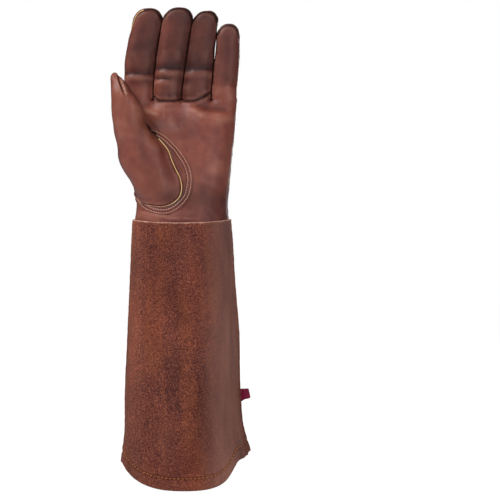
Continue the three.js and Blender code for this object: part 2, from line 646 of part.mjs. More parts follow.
// The tab is a ribbon folded in two, with its ends at the side seam
function tabSolid() {
  const edge = cuffPoint(0, TAB_UP - TAB_HEIGHT / 2, 0)[0] + SEAM_GAP;
  const fold = TAB_FOLD / 2;
  const ribbon = new THREE.Shape();
  ribbon.moveTo(edge, -fold / 2);
  ribbon.lineTo(edge + TAB_REACH - fold, -fold);
  ribbon.absarc(edge + TAB_REACH - fold, 0, fold, -Math.PI / 2, Math.PI / 2, false);
  ribbon.lineTo(edge, fold / 2);
  ribbon.lineTo(edge, 0.5 * fold - TAB_RIBBON * 0.7);
  ribbon.lineTo(edge + TAB_REACH - fold, fold - TAB_RIBBON);
  ribbon.absarc(edge + TAB_REACH - fold, 0, fold - TAB_RIBBON, Math.PI / 2, -Math.PI / 2, true);
  ribbon.lineTo(edge, TAB_RIBBON * 0.7 - 0.5 * fold);
  ribbon.closePath();
  const options = { depth: TAB_HEIGHT, bevelEnabled: false, curveSegments: 5 };
  return solidOf(new THREE.ExtrudeGeometry(ribbon, options).translate(0, 0, TAB_UP - TAB_HEIGHT / 2));
}

const SMOOTH = { color: 0x7c4a40, roughness: 0.5, metalness: 0 };
const DARK = { color: 0x633831, roughness: 0.6, metalness: 0 };
const NAP = { color: 0x744030, roughness: 0.95, metalness: 0 };
const GOLD = { color: 0xcf9552, roughness: 0.6, metalness: 0 };
const CRIMSON = { color: 0x822343, roughness: 0.7, metalness: 0 };

const pieces = [
  ["palm", SMOOTH, palmFront],
  ["back", SMOOTH, handBack],
  ["middle_finger_front", SMOOTH, handFront.intersect(fingerFrontSpace(1, -SEAM_HALF))],
  ["ring_finger_front", SMOOTH, handFront.intersect(fingerFrontSpace(2, -SEAM_HALF))],
  ["fourchette_index_middle", DARK, fourchettes[0]],
  ["fourchette_middle_ring", DARK, fourchettes[1]],
  ["fourchette_ring_little", DARK, fourchettes[2]],
  ["thumb", SMOOTH, thumbShell],
  ["thumb_patch", SMOOTH, patchSolid()],
  ["welt", GOLD, weltSolid().subtract(handSolid(SEAM_GAP, HAND_LOW)).subtract(thumbSolid(SEAM_GAP))],
  ["cuff_front", NAP, cuffPanel(1)],
  ["cuff_back", NAP, cuffPanel(0)],
  ["hem", NAP, hemSolid()],
  ["side_tab", CRIMSON, tabSolid()],
];

const gauntlet = new THREE.Group();
for (const [name, finish, solid] of pieces) {
  const mesh = new THREE.Mesh(geometryFrom(solid), new THREE.MeshStandardMaterial(finish));
  mesh.name = name;
  gauntlet.add(mesh);
}

export default gauntlet;
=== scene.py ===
# %% [markdown]
# # A leather gauntlet for pruning roses
# The glove is soft, but it is shown filled out as if worn. Its leather is cut in flat pieces and sewn into a
# hand with a long cuff. Here each sewn piece becomes a mesh of its own over the measured frame, so that the
# seams are real gaps between real pieces, and thread, piping and ribbon are separate objects.

# %% Load the frame
import math
import bpy
import numpy as np
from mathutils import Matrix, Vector, noise
from mathutils.bvhtree import BVHTree
from mathutils.kdtree import KDTree


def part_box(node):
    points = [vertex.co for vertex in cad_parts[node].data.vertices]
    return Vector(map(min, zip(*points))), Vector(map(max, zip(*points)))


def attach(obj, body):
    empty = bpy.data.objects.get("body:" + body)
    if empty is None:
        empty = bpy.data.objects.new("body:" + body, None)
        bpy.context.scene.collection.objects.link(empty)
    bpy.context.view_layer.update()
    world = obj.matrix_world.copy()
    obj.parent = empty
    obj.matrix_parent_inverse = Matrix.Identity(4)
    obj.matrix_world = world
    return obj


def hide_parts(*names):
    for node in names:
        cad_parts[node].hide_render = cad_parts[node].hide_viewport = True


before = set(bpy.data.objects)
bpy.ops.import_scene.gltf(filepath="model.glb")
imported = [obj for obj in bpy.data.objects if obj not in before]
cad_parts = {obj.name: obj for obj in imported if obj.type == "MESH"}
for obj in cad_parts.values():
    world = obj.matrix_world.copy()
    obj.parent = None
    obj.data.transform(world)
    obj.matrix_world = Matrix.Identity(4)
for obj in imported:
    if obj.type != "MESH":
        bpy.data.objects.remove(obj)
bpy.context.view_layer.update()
MM = 0.001

# %% [markdown]
# ## Measures
# A glove maker keeps one block of measures and grades every pattern piece from it. The same is done here:
# the cuff's length and the hand's lowest height come from the frame's own corners, the other measures are
# given here, and the tables hold shares of them, so the surfaces below lie where the frame's solids lie. All
# these sizes are in millimetres.

# %% Driving measures
LEATHER, PATCH_LEATHER, SUEDE, RIBBON, SEAM_GAP = 1.4, 1.1, 1.8, 0.5, 0.3
CUFF_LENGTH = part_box("cuff_back")[1].z / MM
HAND_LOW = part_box("palm")[0].z / MM
WRIST_SEAM_DIP = 4.0
PALM_LENGTH, MIDDLE_LENGTH = 120.0, 86.5
WEB_Z = CUFF_LENGTH + PALM_LENGTH
ELASTIC_Z = CUFF_LENGTH + 39.0
WRIST_WIDTH, WRIST_DEPTH, WRIST_OFFSET, KNUCKLE_DEPTH, WEB_ROUND = 90.5, 54.0, -2.75, 29.0, 18.0
MIDDLE_WIDTH, MIDDLE_OFFSET, FINGER_DEPTH, FINGER_GAP = 27.5, -17.2, 25.0, 0.6
FINGER_LEAN, FINGER_CURL, FINGER_TIP_ROUND, FINGER_ROOT, CHINK_Z = 13.6, 22.0, 15.0, 30.0, 431.5
THUMB_Z, THUMB_LENGTH = CUFF_LENGTH + 9.0, 133.0
THUMB_WIDTH, THUMB_DEPTH, THUMB_REACH, THUMB_FORWARD = 54.0, 44.0, 63.3, 30.0
THUMB_CLEAR_Z, THUMB_PAD_Z, ROOT_SEAM_Z, TIP_SEAM_Z = 336, 389, 379.4, 458
MOUTH_WIDTH, MOUTH_DEPTH, HEM_HEIGHT, TAB_Z = 131.0, 86.0, 12.0, 87.0
# how far the zigzag reaches to each side of the elastic, and how far the patch's thread lies from its edge
ZIGZAG, PATCH_ROWS = 4.2, (1.5, 4.7)
HAND_POWER, FINGER_POWER, TIP_POWER, THUMB_POWER, MOUTH_POWER = 2.6, 2.5, 2.5, 2.3, 1.8
print("web", WEB_Z, "wrist seam", CUFF_LENGTH)


# %% Tables of shares, a row for each section
def table(names, rows):
    return dict(zip(names.split(), np.array(rows, float).T))


PALM = table("up spread thin front", [
    (0.0, 0.14, -0.08, 0.51), (0.06, 0.04, -0.03, 0.515), (0.12, 0.0, 0.0, 0.52), (0.31, 0.21, 0.08, 0.52),
    (0.49, 0.46, 0.23, 0.52), (0.74, 0.8, 0.5, 0.51), (0.89, 0.95, 0.76, 0.49), (1.0, 1.0, 1.0, 0.47)])
THUMB = table("up out ahead wide deep", [
    (0.0, 0.27, 0.38, 0.1, 0.3), (0.03, 0.285, 0.38, 0.56, 0.75), (0.068, 0.3, 0.385, 0.81, 0.87),
    (0.12, 0.315, 0.4, 0.94, 0.96), (0.21, 0.38, 0.4, 0.99, 1.0), (0.3, 0.49, 0.42, 1.0, 1.0),
    (0.376, 0.565, 0.47, 0.97, 0.955), (0.451, 0.613, 0.57, 0.87, 0.885), (0.549, 0.73, 0.7, 0.69, 0.795),
    (0.639, 0.795, 0.83, 0.58, 0.75), (0.729, 0.82, 0.93, 0.555, 0.73), (0.789, 0.85, 0.97, 0.48, 0.705),
    (0.85, 0.92, 1.0, 0.335, 0.64), (0.917, 0.965, 1.0, 0.24, 0.5), (0.966, 0.997, 1.0, 0.178, 0.32),
    (1.0, 1.005, 1.0, 0.06, 0.1)])
CUFF = table("up flare swell point shift", [
    (0.0, 1.0, 1.0, 1.0, 0.069), (0.057, 0.955, 0.98, 0.98, 0.069), (0.114, 0.85, 0.95, 0.95, 0.066),
    (0.171, 0.68, 0.9, 0.92, 0.05), (0.228, 0.55, 0.84, 0.88, 0.027), (0.38, 0.45, 0.68, 0.78, 0.01),
    (0.57, 0.34, 0.47, 0.65, 0.018), (0.76, 0.17, 0.25, 0.45, 0.012), (0.894, 0.06, 0.1, 0.15, 0.012),
    (1.0, 0.0, 0.0, 0.0, 0.0)])
# a row for each finger, from the index to the little finger
FINGER = table("root middle high reach depth", [
    (1.0, 1.13, 1.05, 0.993, 1.02), (1.0, 1.07, 1.06, 1.0, 1.04), (1.05, 0.98, 0.9, 0.967, 1.0),
    (0.91, 0.89, 0.8, 0.825, 0.92)])


def mix(a, b, t):
    return a + (b - a) * t


def ease(t):
    t = np.clip(t, 0, 1)
    return t * t * (3 - 2 * t)


def bell(x):
    return np.exp(-x * x)


def power(x, p):
    return np.sign(x) * np.abs(x) ** (2 / p)


def read(rows, name, at, place="up"):
    """A smooth curve through one column of a table."""
    xs, ys = rows[place], rows[name]
    before, after = np.r_[0, 0:len(xs) - 1], np.r_[1:len(xs), len(xs) - 1]
    slopes = (ys[after] - ys[before]) / (xs[after] - xs[before])
    at = np.clip(at, xs[0], xs[-1])
    i = np.clip(np.searchsorted(xs, at, side="right") - 1, 0, len(xs) - 2)
    step = xs[i + 1] - xs[i]
    t = (at - xs[i]) / step
    ends = mix(ys[i], ys[i + 1], t * t * (3 - 2 * t))
    return ends + step * (slopes[i] * t * (1 - t) ** 2 - slopes[i + 1] * t * t * (1 - t))


# %% [markdown]
# ## Where the hand's surfaces lie
# Every function takes a height and answers with a place or a half width there. A surface made of sections
# like this is called a loft. Working with whole arrays of heights keeps it quick.

# %% Fingers, palm and thumb at a height
def rise(z):
    return np.clip((z - WEB_Z) / MIDDLE_LENGTH, -0.5, 1.1)


def finger_width(i, z):
    places = {"up": np.array([0.0, 0.43, 0.8]), "w": np.array([FINGER[n][i] for n in ("root", "middle", "high")])}
    return MIDDLE_WIDTH * read(places, "w", rise(z))


def finger_depth(i, z):
    return FINGER_DEPTH * FINGER["depth"][i] * mix(1, 0.86, np.clip(rise(z), 0, 1))


def finger_tip(i):
    return WEB_Z + MIDDLE_LENGTH * FINGER["reach"][i]


TIPS = np.array([finger_tip(i) for i in range(4)])


def finger_x(i, z):
    x = MIDDLE_OFFSET + FINGER_LEAN * np.maximum(rise(z), 0) ** 1.4
    way = 1 if i > 1 else -1
    for k in range(1, i, way):
        x = x + way * ((finger_width(k, z) + finger_width(k + way, z)) / 2 + FINGER_GAP)
    return x


def gap_x(i, z):
    """The line half-way between a finger and the next one."""
    right = finger_x(i, z) + finger_width(i, z) / 2
    return (right + finger_x(i + 1, z) - finger_width(i + 1, z) / 2) / 2


def middle_y(z):
    return -FINGER_CURL * np.clip((z - WEB_Z + 12) / (MIDDLE_LENGTH + 12), 0, 1.2) ** 1.6


KNUCKLE_LOW = finger_x(0, WEB_Z) - finger_width(0, WEB_Z) / 2
KNUCKLE_HIGH = finger_x(3, WEB_Z) + finger_width(3, WEB_Z) / 2
KNUCKLE_HALF, KNUCKLE_MIDDLE = (KNUCKLE_HIGH - KNUCKLE_LOW) / 2, (KNUCKLE_HIGH + KNUCKLE_LOW) / 2


def palm_size(z):
    up = (z - CUFF_LENGTH) / PALM_LENGTH
    spread, front = read(PALM, "spread", up), read(PALM, "front", up)
    depth = mix(WRIST_DEPTH, KNUCKLE_DEPTH, read(PALM, "thin", up))
    x = mix(WRIST_OFFSET, KNUCKLE_MIDDLE, spread)
    return x, mix(WRIST_WIDTH / 2, KNUCKLE_HALF, spread), depth * front, depth * (1 - front)


def thumb_size(z):
    """Above its root the thumb stands clear of the palm, so its back is flatter there."""
    up = (z - THUMB_Z) / THUMB_LENGTH
    clear = ease((z - THUMB_CLEAR_Z) / 18)
    x = WRIST_OFFSET - THUMB_REACH * read(THUMB, "out", up)
    y = -THUMB_FORWARD * read(THUMB, "ahead", up) - 2 * clear
    deep = THUMB_DEPTH / 2 * read(THUMB, "deep", up)
    fuller = 1.8 * bell((z - THUMB_PAD_Z) / 11) * ease((THUMB_PAD_Z + 14 - z) / 8)
    return x + fuller, y, THUMB_WIDTH / 2 * read(THUMB, "wide", up) + fuller, deep, deep * (1 - 0.28 * clear)


def seam_y(x, z):
    """The depth at which the front and the back of the hand meet."""
    towards_thumb = np.clip((KNUCKLE_MIDDLE - x) / KNUCKLE_HALF, 0, 1)
    return middle_y(z) + 11.5 * towards_thumb ** 2 * (1 - np.clip((z - WEB_Z) / MIDDLE_LENGTH, 0, 1) ** 1.5)


def outside(dx, dy, wide, deep, p):
    """How far points lie outside a rounded section, below zero inside it."""
    reach = ((np.abs(dx) / wide) ** p + (np.abs(dy) / deep) ** p) ** (1 / p)
    return np.hypot(dx, dy) * (1 - 1 / np.maximum(reach, 1e-3))


def outside_palm(q):
    x, half, front, back = palm_size(q[:, 2])
    dy = q[:, 1] - middle_y(q[:, 2])
    return outside(q[:, 0] - x, dy, half, np.where(dy > 0, back, front), HAND_POWER)


def outside_thumb(q):
    x, y, wide, front, back = thumb_size(q[:, 2])
    beyond = np.maximum(np.maximum(THUMB_Z - q[:, 2], q[:, 2] - THUMB_Z - THUMB_LENGTH), 0)
    deep = np.maximum(np.where(q[:, 1] > y, back, front), 0.5)
    return outside(q[:, 0] - x, q[:, 1] - y, np.maximum(wide, 0.5), deep, THUMB_POWER) + beyond


print("knuckles", round(KNUCKLE_LOW, 1), round(KNUCKLE_HIGH, 1))


# %% [markdown]
# ## Meshes from arrays
# Soft pieces are made in mesh code, because a crease or a gather is a rule about where each point goes. Two
# helpers turn arrays into objects and back. Objects stay at the origin, with their place in their mesh.

# %% Mesh helpers
def linked(name, data):
    piece = bpy.data.objects.new(name, data)
    bpy.context.collection.objects.link(piece)
    return piece


def new_object(name, points, faces):
    mesh = bpy.data.meshes.new(name)
    mesh.from_pydata((points * MM).tolist(), [], faces.tolist() if isinstance(faces, np.ndarray) else faces)
    mesh.update()
    return linked(name, mesh)


def chosen(piece):
    bpy.ops.object.select_all(action="DESELECT")
    piece.select_set(True)
    bpy.context.view_layer.objects.active = piece


def apply_modifier(piece, kind, **settings):
    chosen(piece)
    modifier = piece.modifiers.new(kind.lower(), kind)
    for key, value in settings.items():
        setattr(modifier, key, value)
    bpy.ops.object.modifier_apply(modifier=modifier.name)


def joined(parts):
    """Several pairs of points and faces as one."""
    starts = np.cumsum([0] + [len(points) for points, _ in parts]).tolist()
    faces = [[start + int(k) for k in face] for start, (_, own) in zip(starts, parts) for face in own]
    return np.vstack([points for points, _ in parts]), faces


def corner_pairs(faces):
    """The two ends of each triangle's three sides."""
    return faces[:, [0, 1, 1, 2, 2, 0]].reshape(-1, 2)


def tree_of(points):
    tree = KDTree(len(points))
    for k, point in enumerate(points.tolist()):
        tree.insert(point, k)
    tree.balance()
    return tree


def points_of(mesh):
    flat = np.empty(len(mesh.vertices) * 3)
    mesh.vertices.foreach_get("co", flat)
    return flat.reshape(-1, 3) / MM


def normals_of(points, faces):
    """Smooth normals of a triangle mesh in arrays."""
    a, b, c = (points[faces[:, k]] for k in range(3))
    across = np.cross(b - a, c - a)
    total = np.zeros_like(points)
    for k in range(3):
        for axis in range(3):
            total[:, axis] += np.bincount(faces[:, k], across[:, axis], len(points))
    return total / np.maximum(np.linalg.norm(total, axis=1, keepdims=True), 1e-12)


def smoothed(points, faces, rounds, amount=0.5, weight=None):
    """Moves each point towards the middle of its neighbours."""
    edges = np.unique(np.sort(corner_pairs(faces), axis=1), axis=0)
    both = np.vstack([edges, edges[:, ::-1]])
    count = np.maximum(np.bincount(both[:, 0], minlength=len(points)), 1)
    weight = 1.0 if weight is None else weight[:, None]
    for _ in range(rounds):
        near = np.stack([np.bincount(both[:, 0], points[both[:, 1], k], len(points)) for k in range(3)], 1)
        points = points + amount * weight * (near / count[:, None] - points)
    return points


def ripple(q, size, seed=0.0):
    """Smooth noise between about -1 and 1, with features of the given size in millimetres."""
    shift = Vector((seed * 17.3, seed * 5.1, seed * 9.7))
    scale = np.asarray(size, float) * np.ones(3)
    return np.array([noise.noise(Vector(p) + shift) for p in (q / scale).tolist()])


# %% [markdown]
# ## The form of the hand
# Palm, fingers and thumb are lofts that run into each other. A voxel remesh welds overlapping lofts into one
# even skin, as clay would, but it would also weld fingers that nearly touch. So the fingers are spread first,
# and brought back once the skin is made.

# %% Rings of the palm, the fingers and the thumb
SPREAD = 5.0


def spread(i, z):
    """How far a finger is moved aside while the skin is made."""
    return i * SPREAD * ease((z - WEB_Z + 3) / 14)


def section_ring(x, y, z, half, front, back, p, sides):
    """Points round a rounded section at one height."""
    turn = np.linspace(0, 2 * np.pi, sides, endpoint=False)
    deep = np.where(np.sin(turn) > 0, back, front)
    return np.stack([x + half * power(np.cos(turn), p), y + deep * power(np.sin(turn), p), np.full(sides, z)], 1)


def palm_ring(z):
    """Above the middle of the palm the section keeps its depth, and it closes in a round at the top."""
    x, half, front, back = palm_size(z)
    back, front = mix(back, 12.4, ease((z - 343) / 34)), mix(front, 13.4, ease((z - 354) / 24))
    t = np.clip((z - WEB_Z + WEB_ROUND) / WEB_ROUND, 0, 0.98)
    close = np.sqrt(1 - t * t)
    return section_ring(x, middle_y(z), z, half, front * close, back * close, HAND_POWER, 180)


def finger_ring(i, z):
    t = np.clip((z - finger_tip(i) + FINGER_TIP_ROUND) / FINGER_TIP_ROUND, 0, 0.998)
    close = (1 - t ** TIP_POWER) ** (1 / TIP_POWER)
    sunk = mix(0.8, 1, np.clip((z - WEB_Z + FINGER_ROOT) / (FINGER_ROOT - 8), 0, 1))
    half, deep = (size(i, z) / 2 * close * sunk for size in (finger_width, finger_depth))
    return section_ring(finger_x(i, z) + spread(i, z), middle_y(z), z, half, deep, deep, FINGER_POWER, 72)


def thumb_ring(z):
    x, y, *sizes = thumb_size(z)
    return section_ring(x, y, z, *np.maximum(sizes, 0.4), THUMB_POWER, 96)


def rounded_heights(low, top, round_off, step=1.5):
    body = np.arange(low, top - round_off, step)
    return np.r_[body, top - round_off * (1 - np.sin(np.linspace(0, 1.52, 14)))]


def around(points):
    """Faces between rows of points that each close in a ring."""
    at = np.arange(points.shape[0] * points.shape[1]).reshape(points.shape[:2])
    onward = np.roll(at, -1, axis=1)
    return at, onward, np.stack([at[:-1], onward[:-1], onward[1:], at[1:]], -1).reshape(-1, 4)


def loft(rings):
    """Points and faces through rings, with each end closed by a fan."""
    rings = np.asarray(rings)
    at, onward, faces = around(rings)
    points = np.vstack([rings.reshape(-1, 3), rings[0].mean(0), rings[-1].mean(0)])
    low, high = len(points) - 2, len(points) - 1
    faces = faces.tolist()
    for a, b, c, d in zip(at[0], onward[0], at[-1], onward[-1]):
        faces += [(low, b, a), (high, c, d)]
    return points, faces


# %% One even skin
def hand_skin(voxel):
    thumb_heights = np.r_[np.arange(THUMB_Z, THUMB_Z + 127, 1.5),
                          np.arange(THUMB_Z + 127.5, THUMB_Z + THUMB_LENGTH, 0.5)]
    lofts = [loft([palm_ring(z) for z in rounded_heights(HAND_LOW - 3, WEB_Z, WEB_ROUND, 2.0)]),
             loft([thumb_ring(z) for z in thumb_heights])]
    for i in range(4):
        heights = rounded_heights(WEB_Z - FINGER_ROOT, finger_tip(i), FINGER_TIP_ROUND)
        lofts.append(loft([finger_ring(i, z) for z in heights]))
    form = new_object("hand_form", *joined(lofts))
    apply_modifier(form, "REMESH", mode="VOXEL", voxel_size=voxel * MM)
    apply_modifier(form, "TRIANGULATE")
    q = points_of(form.data)
    tris = np.empty(len(form.data.polygons) * 3, int)
    form.data.polygons.foreach_get("vertices", tris)
    bpy.data.objects.remove(form)
    return q, tris.reshape(-1, 3)


def finger_of(q):
    """The finger that each point belongs to, from its place while the fingers are spread."""
    z = q[:, 2]
    return np.argmin([np.abs(q[:, 0] - finger_x(i, z) - spread(i, z)) - finger_width(i, z) / 2
                      for i in range(4)], axis=0)


VOXEL, ROUNDS = ((0.9, 150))
apart, skin_faces = hand_skin(VOXEL)
apart = smoothed(apart, skin_faces, 3)
near_thumb, near_palm = np.abs(outside_thumb(apart)), np.abs(outside_palm(apart))
crease = ease((9 - near_thumb) / 6) * ease((9 - near_palm) / 6) * ease((352 - apart[:, 2]) / 22)
gaps_apart = [gap_x(k, apart[:, 2]) + spread(k + 0.5, apart[:, 2]) for k in range(3)]
from_gap = np.min([np.abs(apart[:, 0] - at) for at in gaps_apart], axis=0)
below = np.maximum(ease((from_gap - 1.5) / 4), ease((WEB_Z - 2 - apart[:, 2]) / 3))
roots = bell((apart[:, 2] - 368) / 14) * below * ease(near_thumb / 5)
roots *= 1 - 0.75 * ease((np.abs(apart[:, 0] + 1) - 44) / 8)
apart = smoothed(apart, skin_faces, ROUNDS, 0.6, np.maximum(crease, roots))
print("hand skin", len(apart), "points")

# %% [markdown]
# ## Where the seams run
# A seam is a line on the skin where some measure is zero, such as the height above the finger's root seam.
# The triangles that the line crosses are cut along it, so every sewn piece gets a clean edge. The patch and
# the thumb's seam follow curves given by points across (X) and up (Z).

# %% Measures that are zero on the seams
def strip_half(q, f):
    """Half the width of the strip that lines the side of a finger, where it has a neighbour."""
    side = np.where(q[:, 0] > finger_x_of(q, f), 1, -1)
    has = (f + side >= 0) & (f + side <= 3)
    low = np.clip((q[:, 2] - WEB_Z + 9) / 6, 0, 1) ** 0.5
    high = np.clip((TIPS[f] - 8 - q[:, 2]) / 16, 0, 1) ** 0.5
    return np.where(has, low * high, 0.0)


def finger_x_of(q, f):
    return np.choose(f, [finger_x(i, q[:, 2]) for i in range(4)])


def root_seam_z(x):
    """Height of the seam at the roots of the two middle fingers. It turns up at both ends."""
    ends = 9.0 * np.clip((-23.5 - x) / 8.5, 0, 1.2) ** 2 + 10.0 * np.clip((x - 6) / 20, 0, 1.2) ** 2.2
    return ROOT_SEAM_Z + ends + 1.8 * bell((x + 3.5) / 3.4)


def edge_y(q, f):
    """Depth of the seam between front and back. Near each tip it comes round to the front."""
    outer = (f == 0) & (q[:, 0] < finger_x_of(q, f))
    span = np.where(outer, 40, 25)
    to_front = ease((q[:, 2] - TIPS[f] + span) / (span - 7))
    return mix(seam_y(q[:, 0], q[:, 2]), middle_y(q[:, 2]) - np.where(outer, 7.2, 6.0), to_front)


STRIP = 5.0


def seam_measures(q, f):
    share = strip_half(q, f)
    edge, middle = edge_y(q, f), middle_y(q[:, 2])
    thumb = np.minimum(outside_palm(q) - 0.55, 3.2 - outside_thumb(q))
    return {
        "front": q[:, 1] - mix(edge, middle - STRIP, share),
        "back": q[:, 1] - mix(edge, middle + STRIP, share),
        "thumb": thumb,
        "root": q[:, 2] - root_seam_z(q[:, 0]),
        **{f"gap{k}": q[:, 0] - gap_x(k, q[:, 2]) for k in range(3)},
        "edge": q[:, 2] - HAND_LOW - 0.4,
    }


# %% Cutting triangles along a line
def carried(values, a, b, t):
    """Values part of the way from a to b. Whole numbers, such as a finger's, are taken from a."""
    if values.dtype.kind != "f":
        return values[a]
    return mix(values[a], values[b], t[:, None] if values.ndim > 1 else t)


def cut_along(points, faces, others, measure):
    """Puts corners where the measure is zero. The other arrays are carried along with the points."""
    s = measure(points, others)
    a, b = corner_pairs(faces).T
    crossing = s[a] * s[b] < 0
    a, b = a[crossing], b[crossing]
    both = np.vstack([np.c_[a, b], np.c_[b, a]])
    t = s[both[:, 0]] / (s[both[:, 0]] - s[both[:, 1]])
    close = t < 0.25
    pick = np.argsort(-t[close], kind="stable")
    start, end, t = both[close][pick, 0], both[close][pick, 1], t[close][pick]
    arrays = [o.copy() for o in [points, *others]]
    for o in arrays:
        o[start] = carried(o, start, end, t)
    s[start] = 0
    ends = np.sort(corner_pairs(faces), axis=1)
    crossing = s[ends[:, 0]] * s[ends[:, 1]] < 0
    pairs, which = np.unique(ends[crossing], axis=0, return_inverse=True)
    a, b = pairs.T
    t = s[a] / (s[a] - s[b])
    arrays = [np.concatenate([o, carried(o, a, b, t)]) for o in arrays]
    new = np.full(len(ends), -1)
    new[crossing] = len(points) + which.reshape(-1)
    new = new.reshape(-1, 3)
    count = (new >= 0).sum(1)
    keep = faces[count == 0]
    one, m1 = faces[count == 1], new[count == 1]
    turn = (np.argmax(m1 >= 0, axis=1)[:, None] + np.arange(3) + 2) % 3
    v, m = np.take_along_axis(one, turn, 1), m1.max(1)
    single = np.vstack([np.c_[v[:, 0], v[:, 1], m], np.c_[v[:, 0], m, v[:, 2]]])
    two, m2 = faces[count == 2], new[count == 2]
    turn = (np.argmax(m2 < 0, axis=1)[:, None] + np.arange(3) + 2) % 3
    v, m = np.take_along_axis(two, turn, 1), np.take_along_axis(m2, turn, 1)
    double = np.vstack([np.c_[v[:, 0], m[:, 0], m[:, 2]], np.c_[m[:, 0], v[:, 1], v[:, 2]],
                        np.c_[m[:, 0], v[:, 2], m[:, 2]]])
    return arrays[0], np.vstack([keep, single, double]), arrays[1:]


finger = finger_of(apart)
def shift(q):
    """How far each point is moved aside with its finger."""
    return np.choose(finger, [spread(i, q[:, 2]) for i in range(4)])[:, None] * [1, 0, 0]


rest = apart - shift(apart)
for name in seam_measures(rest[:3], finger[:3]):
    rest, skin_faces, (finger,) = cut_along(rest, skin_faces, [finger], lambda q, o: seam_measures(q, o[0])[name])
apart = rest + shift(rest)
print("cut skin", len(rest), "points", len(skin_faces), "triangles")


# %% Naming each triangle for its piece
def deciding(values, faces):
    """Of each triangle's three values, the one furthest from zero."""
    at = values[faces]
    return np.take_along_axis(at, np.abs(at).argmax(1)[:, None], 1)[:, 0]


PIECES = ["palm", "back", "middle_finger_front", "ring_finger_front", "fourchette_index_middle",
          "fourchette_middle_ring", "fourchette_ring_little", "thumb"]
sides = {k: deciding(v, skin_faces) for k, v in seam_measures(rest, finger).items()}
centres = rest[skin_faces].mean(1)
passed = sum((sides[f"gap{k}"] > 0).astype(int) for k in range(3))
nearest_gap = np.argmin([np.abs(centres[:, 0] - gap_x(k, centres[:, 2])) for k in range(3)], axis=0)
front = np.where((sides["root"] > 0) & ((passed == 1) | (passed == 2)), passed + 1, 0)
labels = np.where(sides["thumb"] > 0, 7, np.where(sides["front"] < 0, front,
                                                  np.where(sides["back"] > 0, 1, 4 + nearest_gap)))
labels[sides["edge"] < 0] = -1
print({name: int((labels == k).sum()) for k, name in enumerate(PIECES)})

# %% [markdown]
# ## Relief of the skin
# A seam that was sewn inside out is a groove, with the leather puffed and puckered beside it. Joints crease,
# the palm folds, and the elastic at the wrist gathers the back. Each is a height that moves the skin along its
# normals. The height's own bumps are kept as an attribute, so the materials can rub ridges paler and paint shade
# into creases.

# %% How far each point is from a seam
def meeting_edges(faces, names):
    """Edges where two pieces meet: their ends, and the names of the two pieces."""
    ends = np.sort(corner_pairs(faces), axis=1)
    face = np.repeat(np.arange(len(faces)), 3)
    order = np.lexsort((ends[:, 1], ends[:, 0]))
    ends, face = ends[order], face[order]
    first = np.flatnonzero((ends[1:] == ends[:-1]).all(1))
    pair = np.sort(np.c_[names[face[first]], names[face[first + 1]]], axis=1)
    meet = pair[:, 0] != pair[:, 1]
    return ends[first][meet], pair[meet]


seam_ends, seam_pairs = meeting_edges(skin_faces, labels)
between = seam_pairs[:, 0] >= 0
on_seam = np.vstack([mix(apart[seam_ends[between, 0]], apart[seam_ends[between, 1]], t) for t in (0, 0.5, 1)])
seam_tree = tree_of(on_seam)
from_seam = np.minimum([seam_tree.find(p)[2] for p in apart.tolist()], 12.0)
print("seams", int(between.sum()), "edges")

# %% Folds and creases, each by its place, depth and width
# finger, height, depth, width, bow, and the part of the width it crosses
JOINT_CREASES = [(0, 405.9, 1.0, 1.9, 1.0, -1.6, 1.7), (0, 430.0, 0.3, 4.0, 1.0, -1.3, 1.3),
                 (1, 411.2, 1.2, 2.2, 0.6, -1.6, 1.7), (1, 401.0, 0.9, 1.7, 1.6, -1.6, 0.6),
                 (1, 430.0, 0.35, 3.5, 1.0, -1.3, 1.3), (2, 410.8, 1.2, 2.4, 0.4, -1.6, 1.7),
                 (2, 430.0, 0.35, 3.5, 1.0, -0.4, 1.3), (3, 396.5, 0.6, 3.0, -1.5, -0.6, 1.6)]
# run of points across and up, height, width: on the palm, at the roots of the fingers and on the thumb
PALM_FOLDS = [([(-44, 370.5), (-38, 369.8), (-30, 366.5), (-21, 364.5)], 1.8, 4.0),
              ([(-44, 360), (-34, 357.5), (-20, 355.5), (-6, 357)], -1.2, 6.0),
              ([(-31, 374), (-24, 373), (-16, 374)], 0.8, 3.8),
              ([(-3, 376), (9, 370), (18, 365), (27, 362.5), (54, 361.5)], 2.8, 6.0),
              ([(8, 378), (18, 374.5), (27, 372), (40, 371), (54, 371)], -0.4, 4.4),
              ([(-3, 373), (-2, 362), (-1, 350)], -0.6, 7.0),
              ([(-22, 345), (2, 338), (6, 318)], -1.0, 11.0), ([(30, 338), (34, 318), (30, 300)], 0.9, 10.0),
              ([(12, 296), (40, 288)], -0.7, 5.0), ([(-40, 269.0), (-12, 263.0), (14, 262.5)], 0.5, 1.5),
              ([(-20, 258.5), (20, 257)], 0.35, 1.2), ([(-14, 283), (-8, 281.5)], -1.2, 1.4)]
ROOT_FOLDS = [([(-29, 379), (-26, 383)], 0.9, 3.4), ([(21, 384), (25, 389)], 0.9, 3.6),
              ([(-18, 384), (-12, 384)], -0.5, 4.0), ([(4, 386), (12, 386)], -0.4, 5.0)]
THUMB_FOLDS = [([(-62.9, 404), (-59.0, 391), (-54.4, 379)], -1.9, 0.85),
               ([(-64.6, 402), (-61.2, 391), (-57.0, 379)], 0.6, 1.1),
               ([(-68, 352), (-42, 345)], -0.5, 4.0), ([(-50, 384), (-51, 366), (-52, 356)], -0.4, 2.6),
               ([(-42, 356), (-39.5, 338), (-38, 324), (-29, 312)], -0.8, 5.0),
               ([(-33, 348), (-32, 330), (-29, 320)], -0.8, 7.0),
               ([(-56, 322), (-40, 310), (-26, 304)], -0.5, 4.0), ([(-22, 326), (-16, 306)], 0.4, 5.0)]


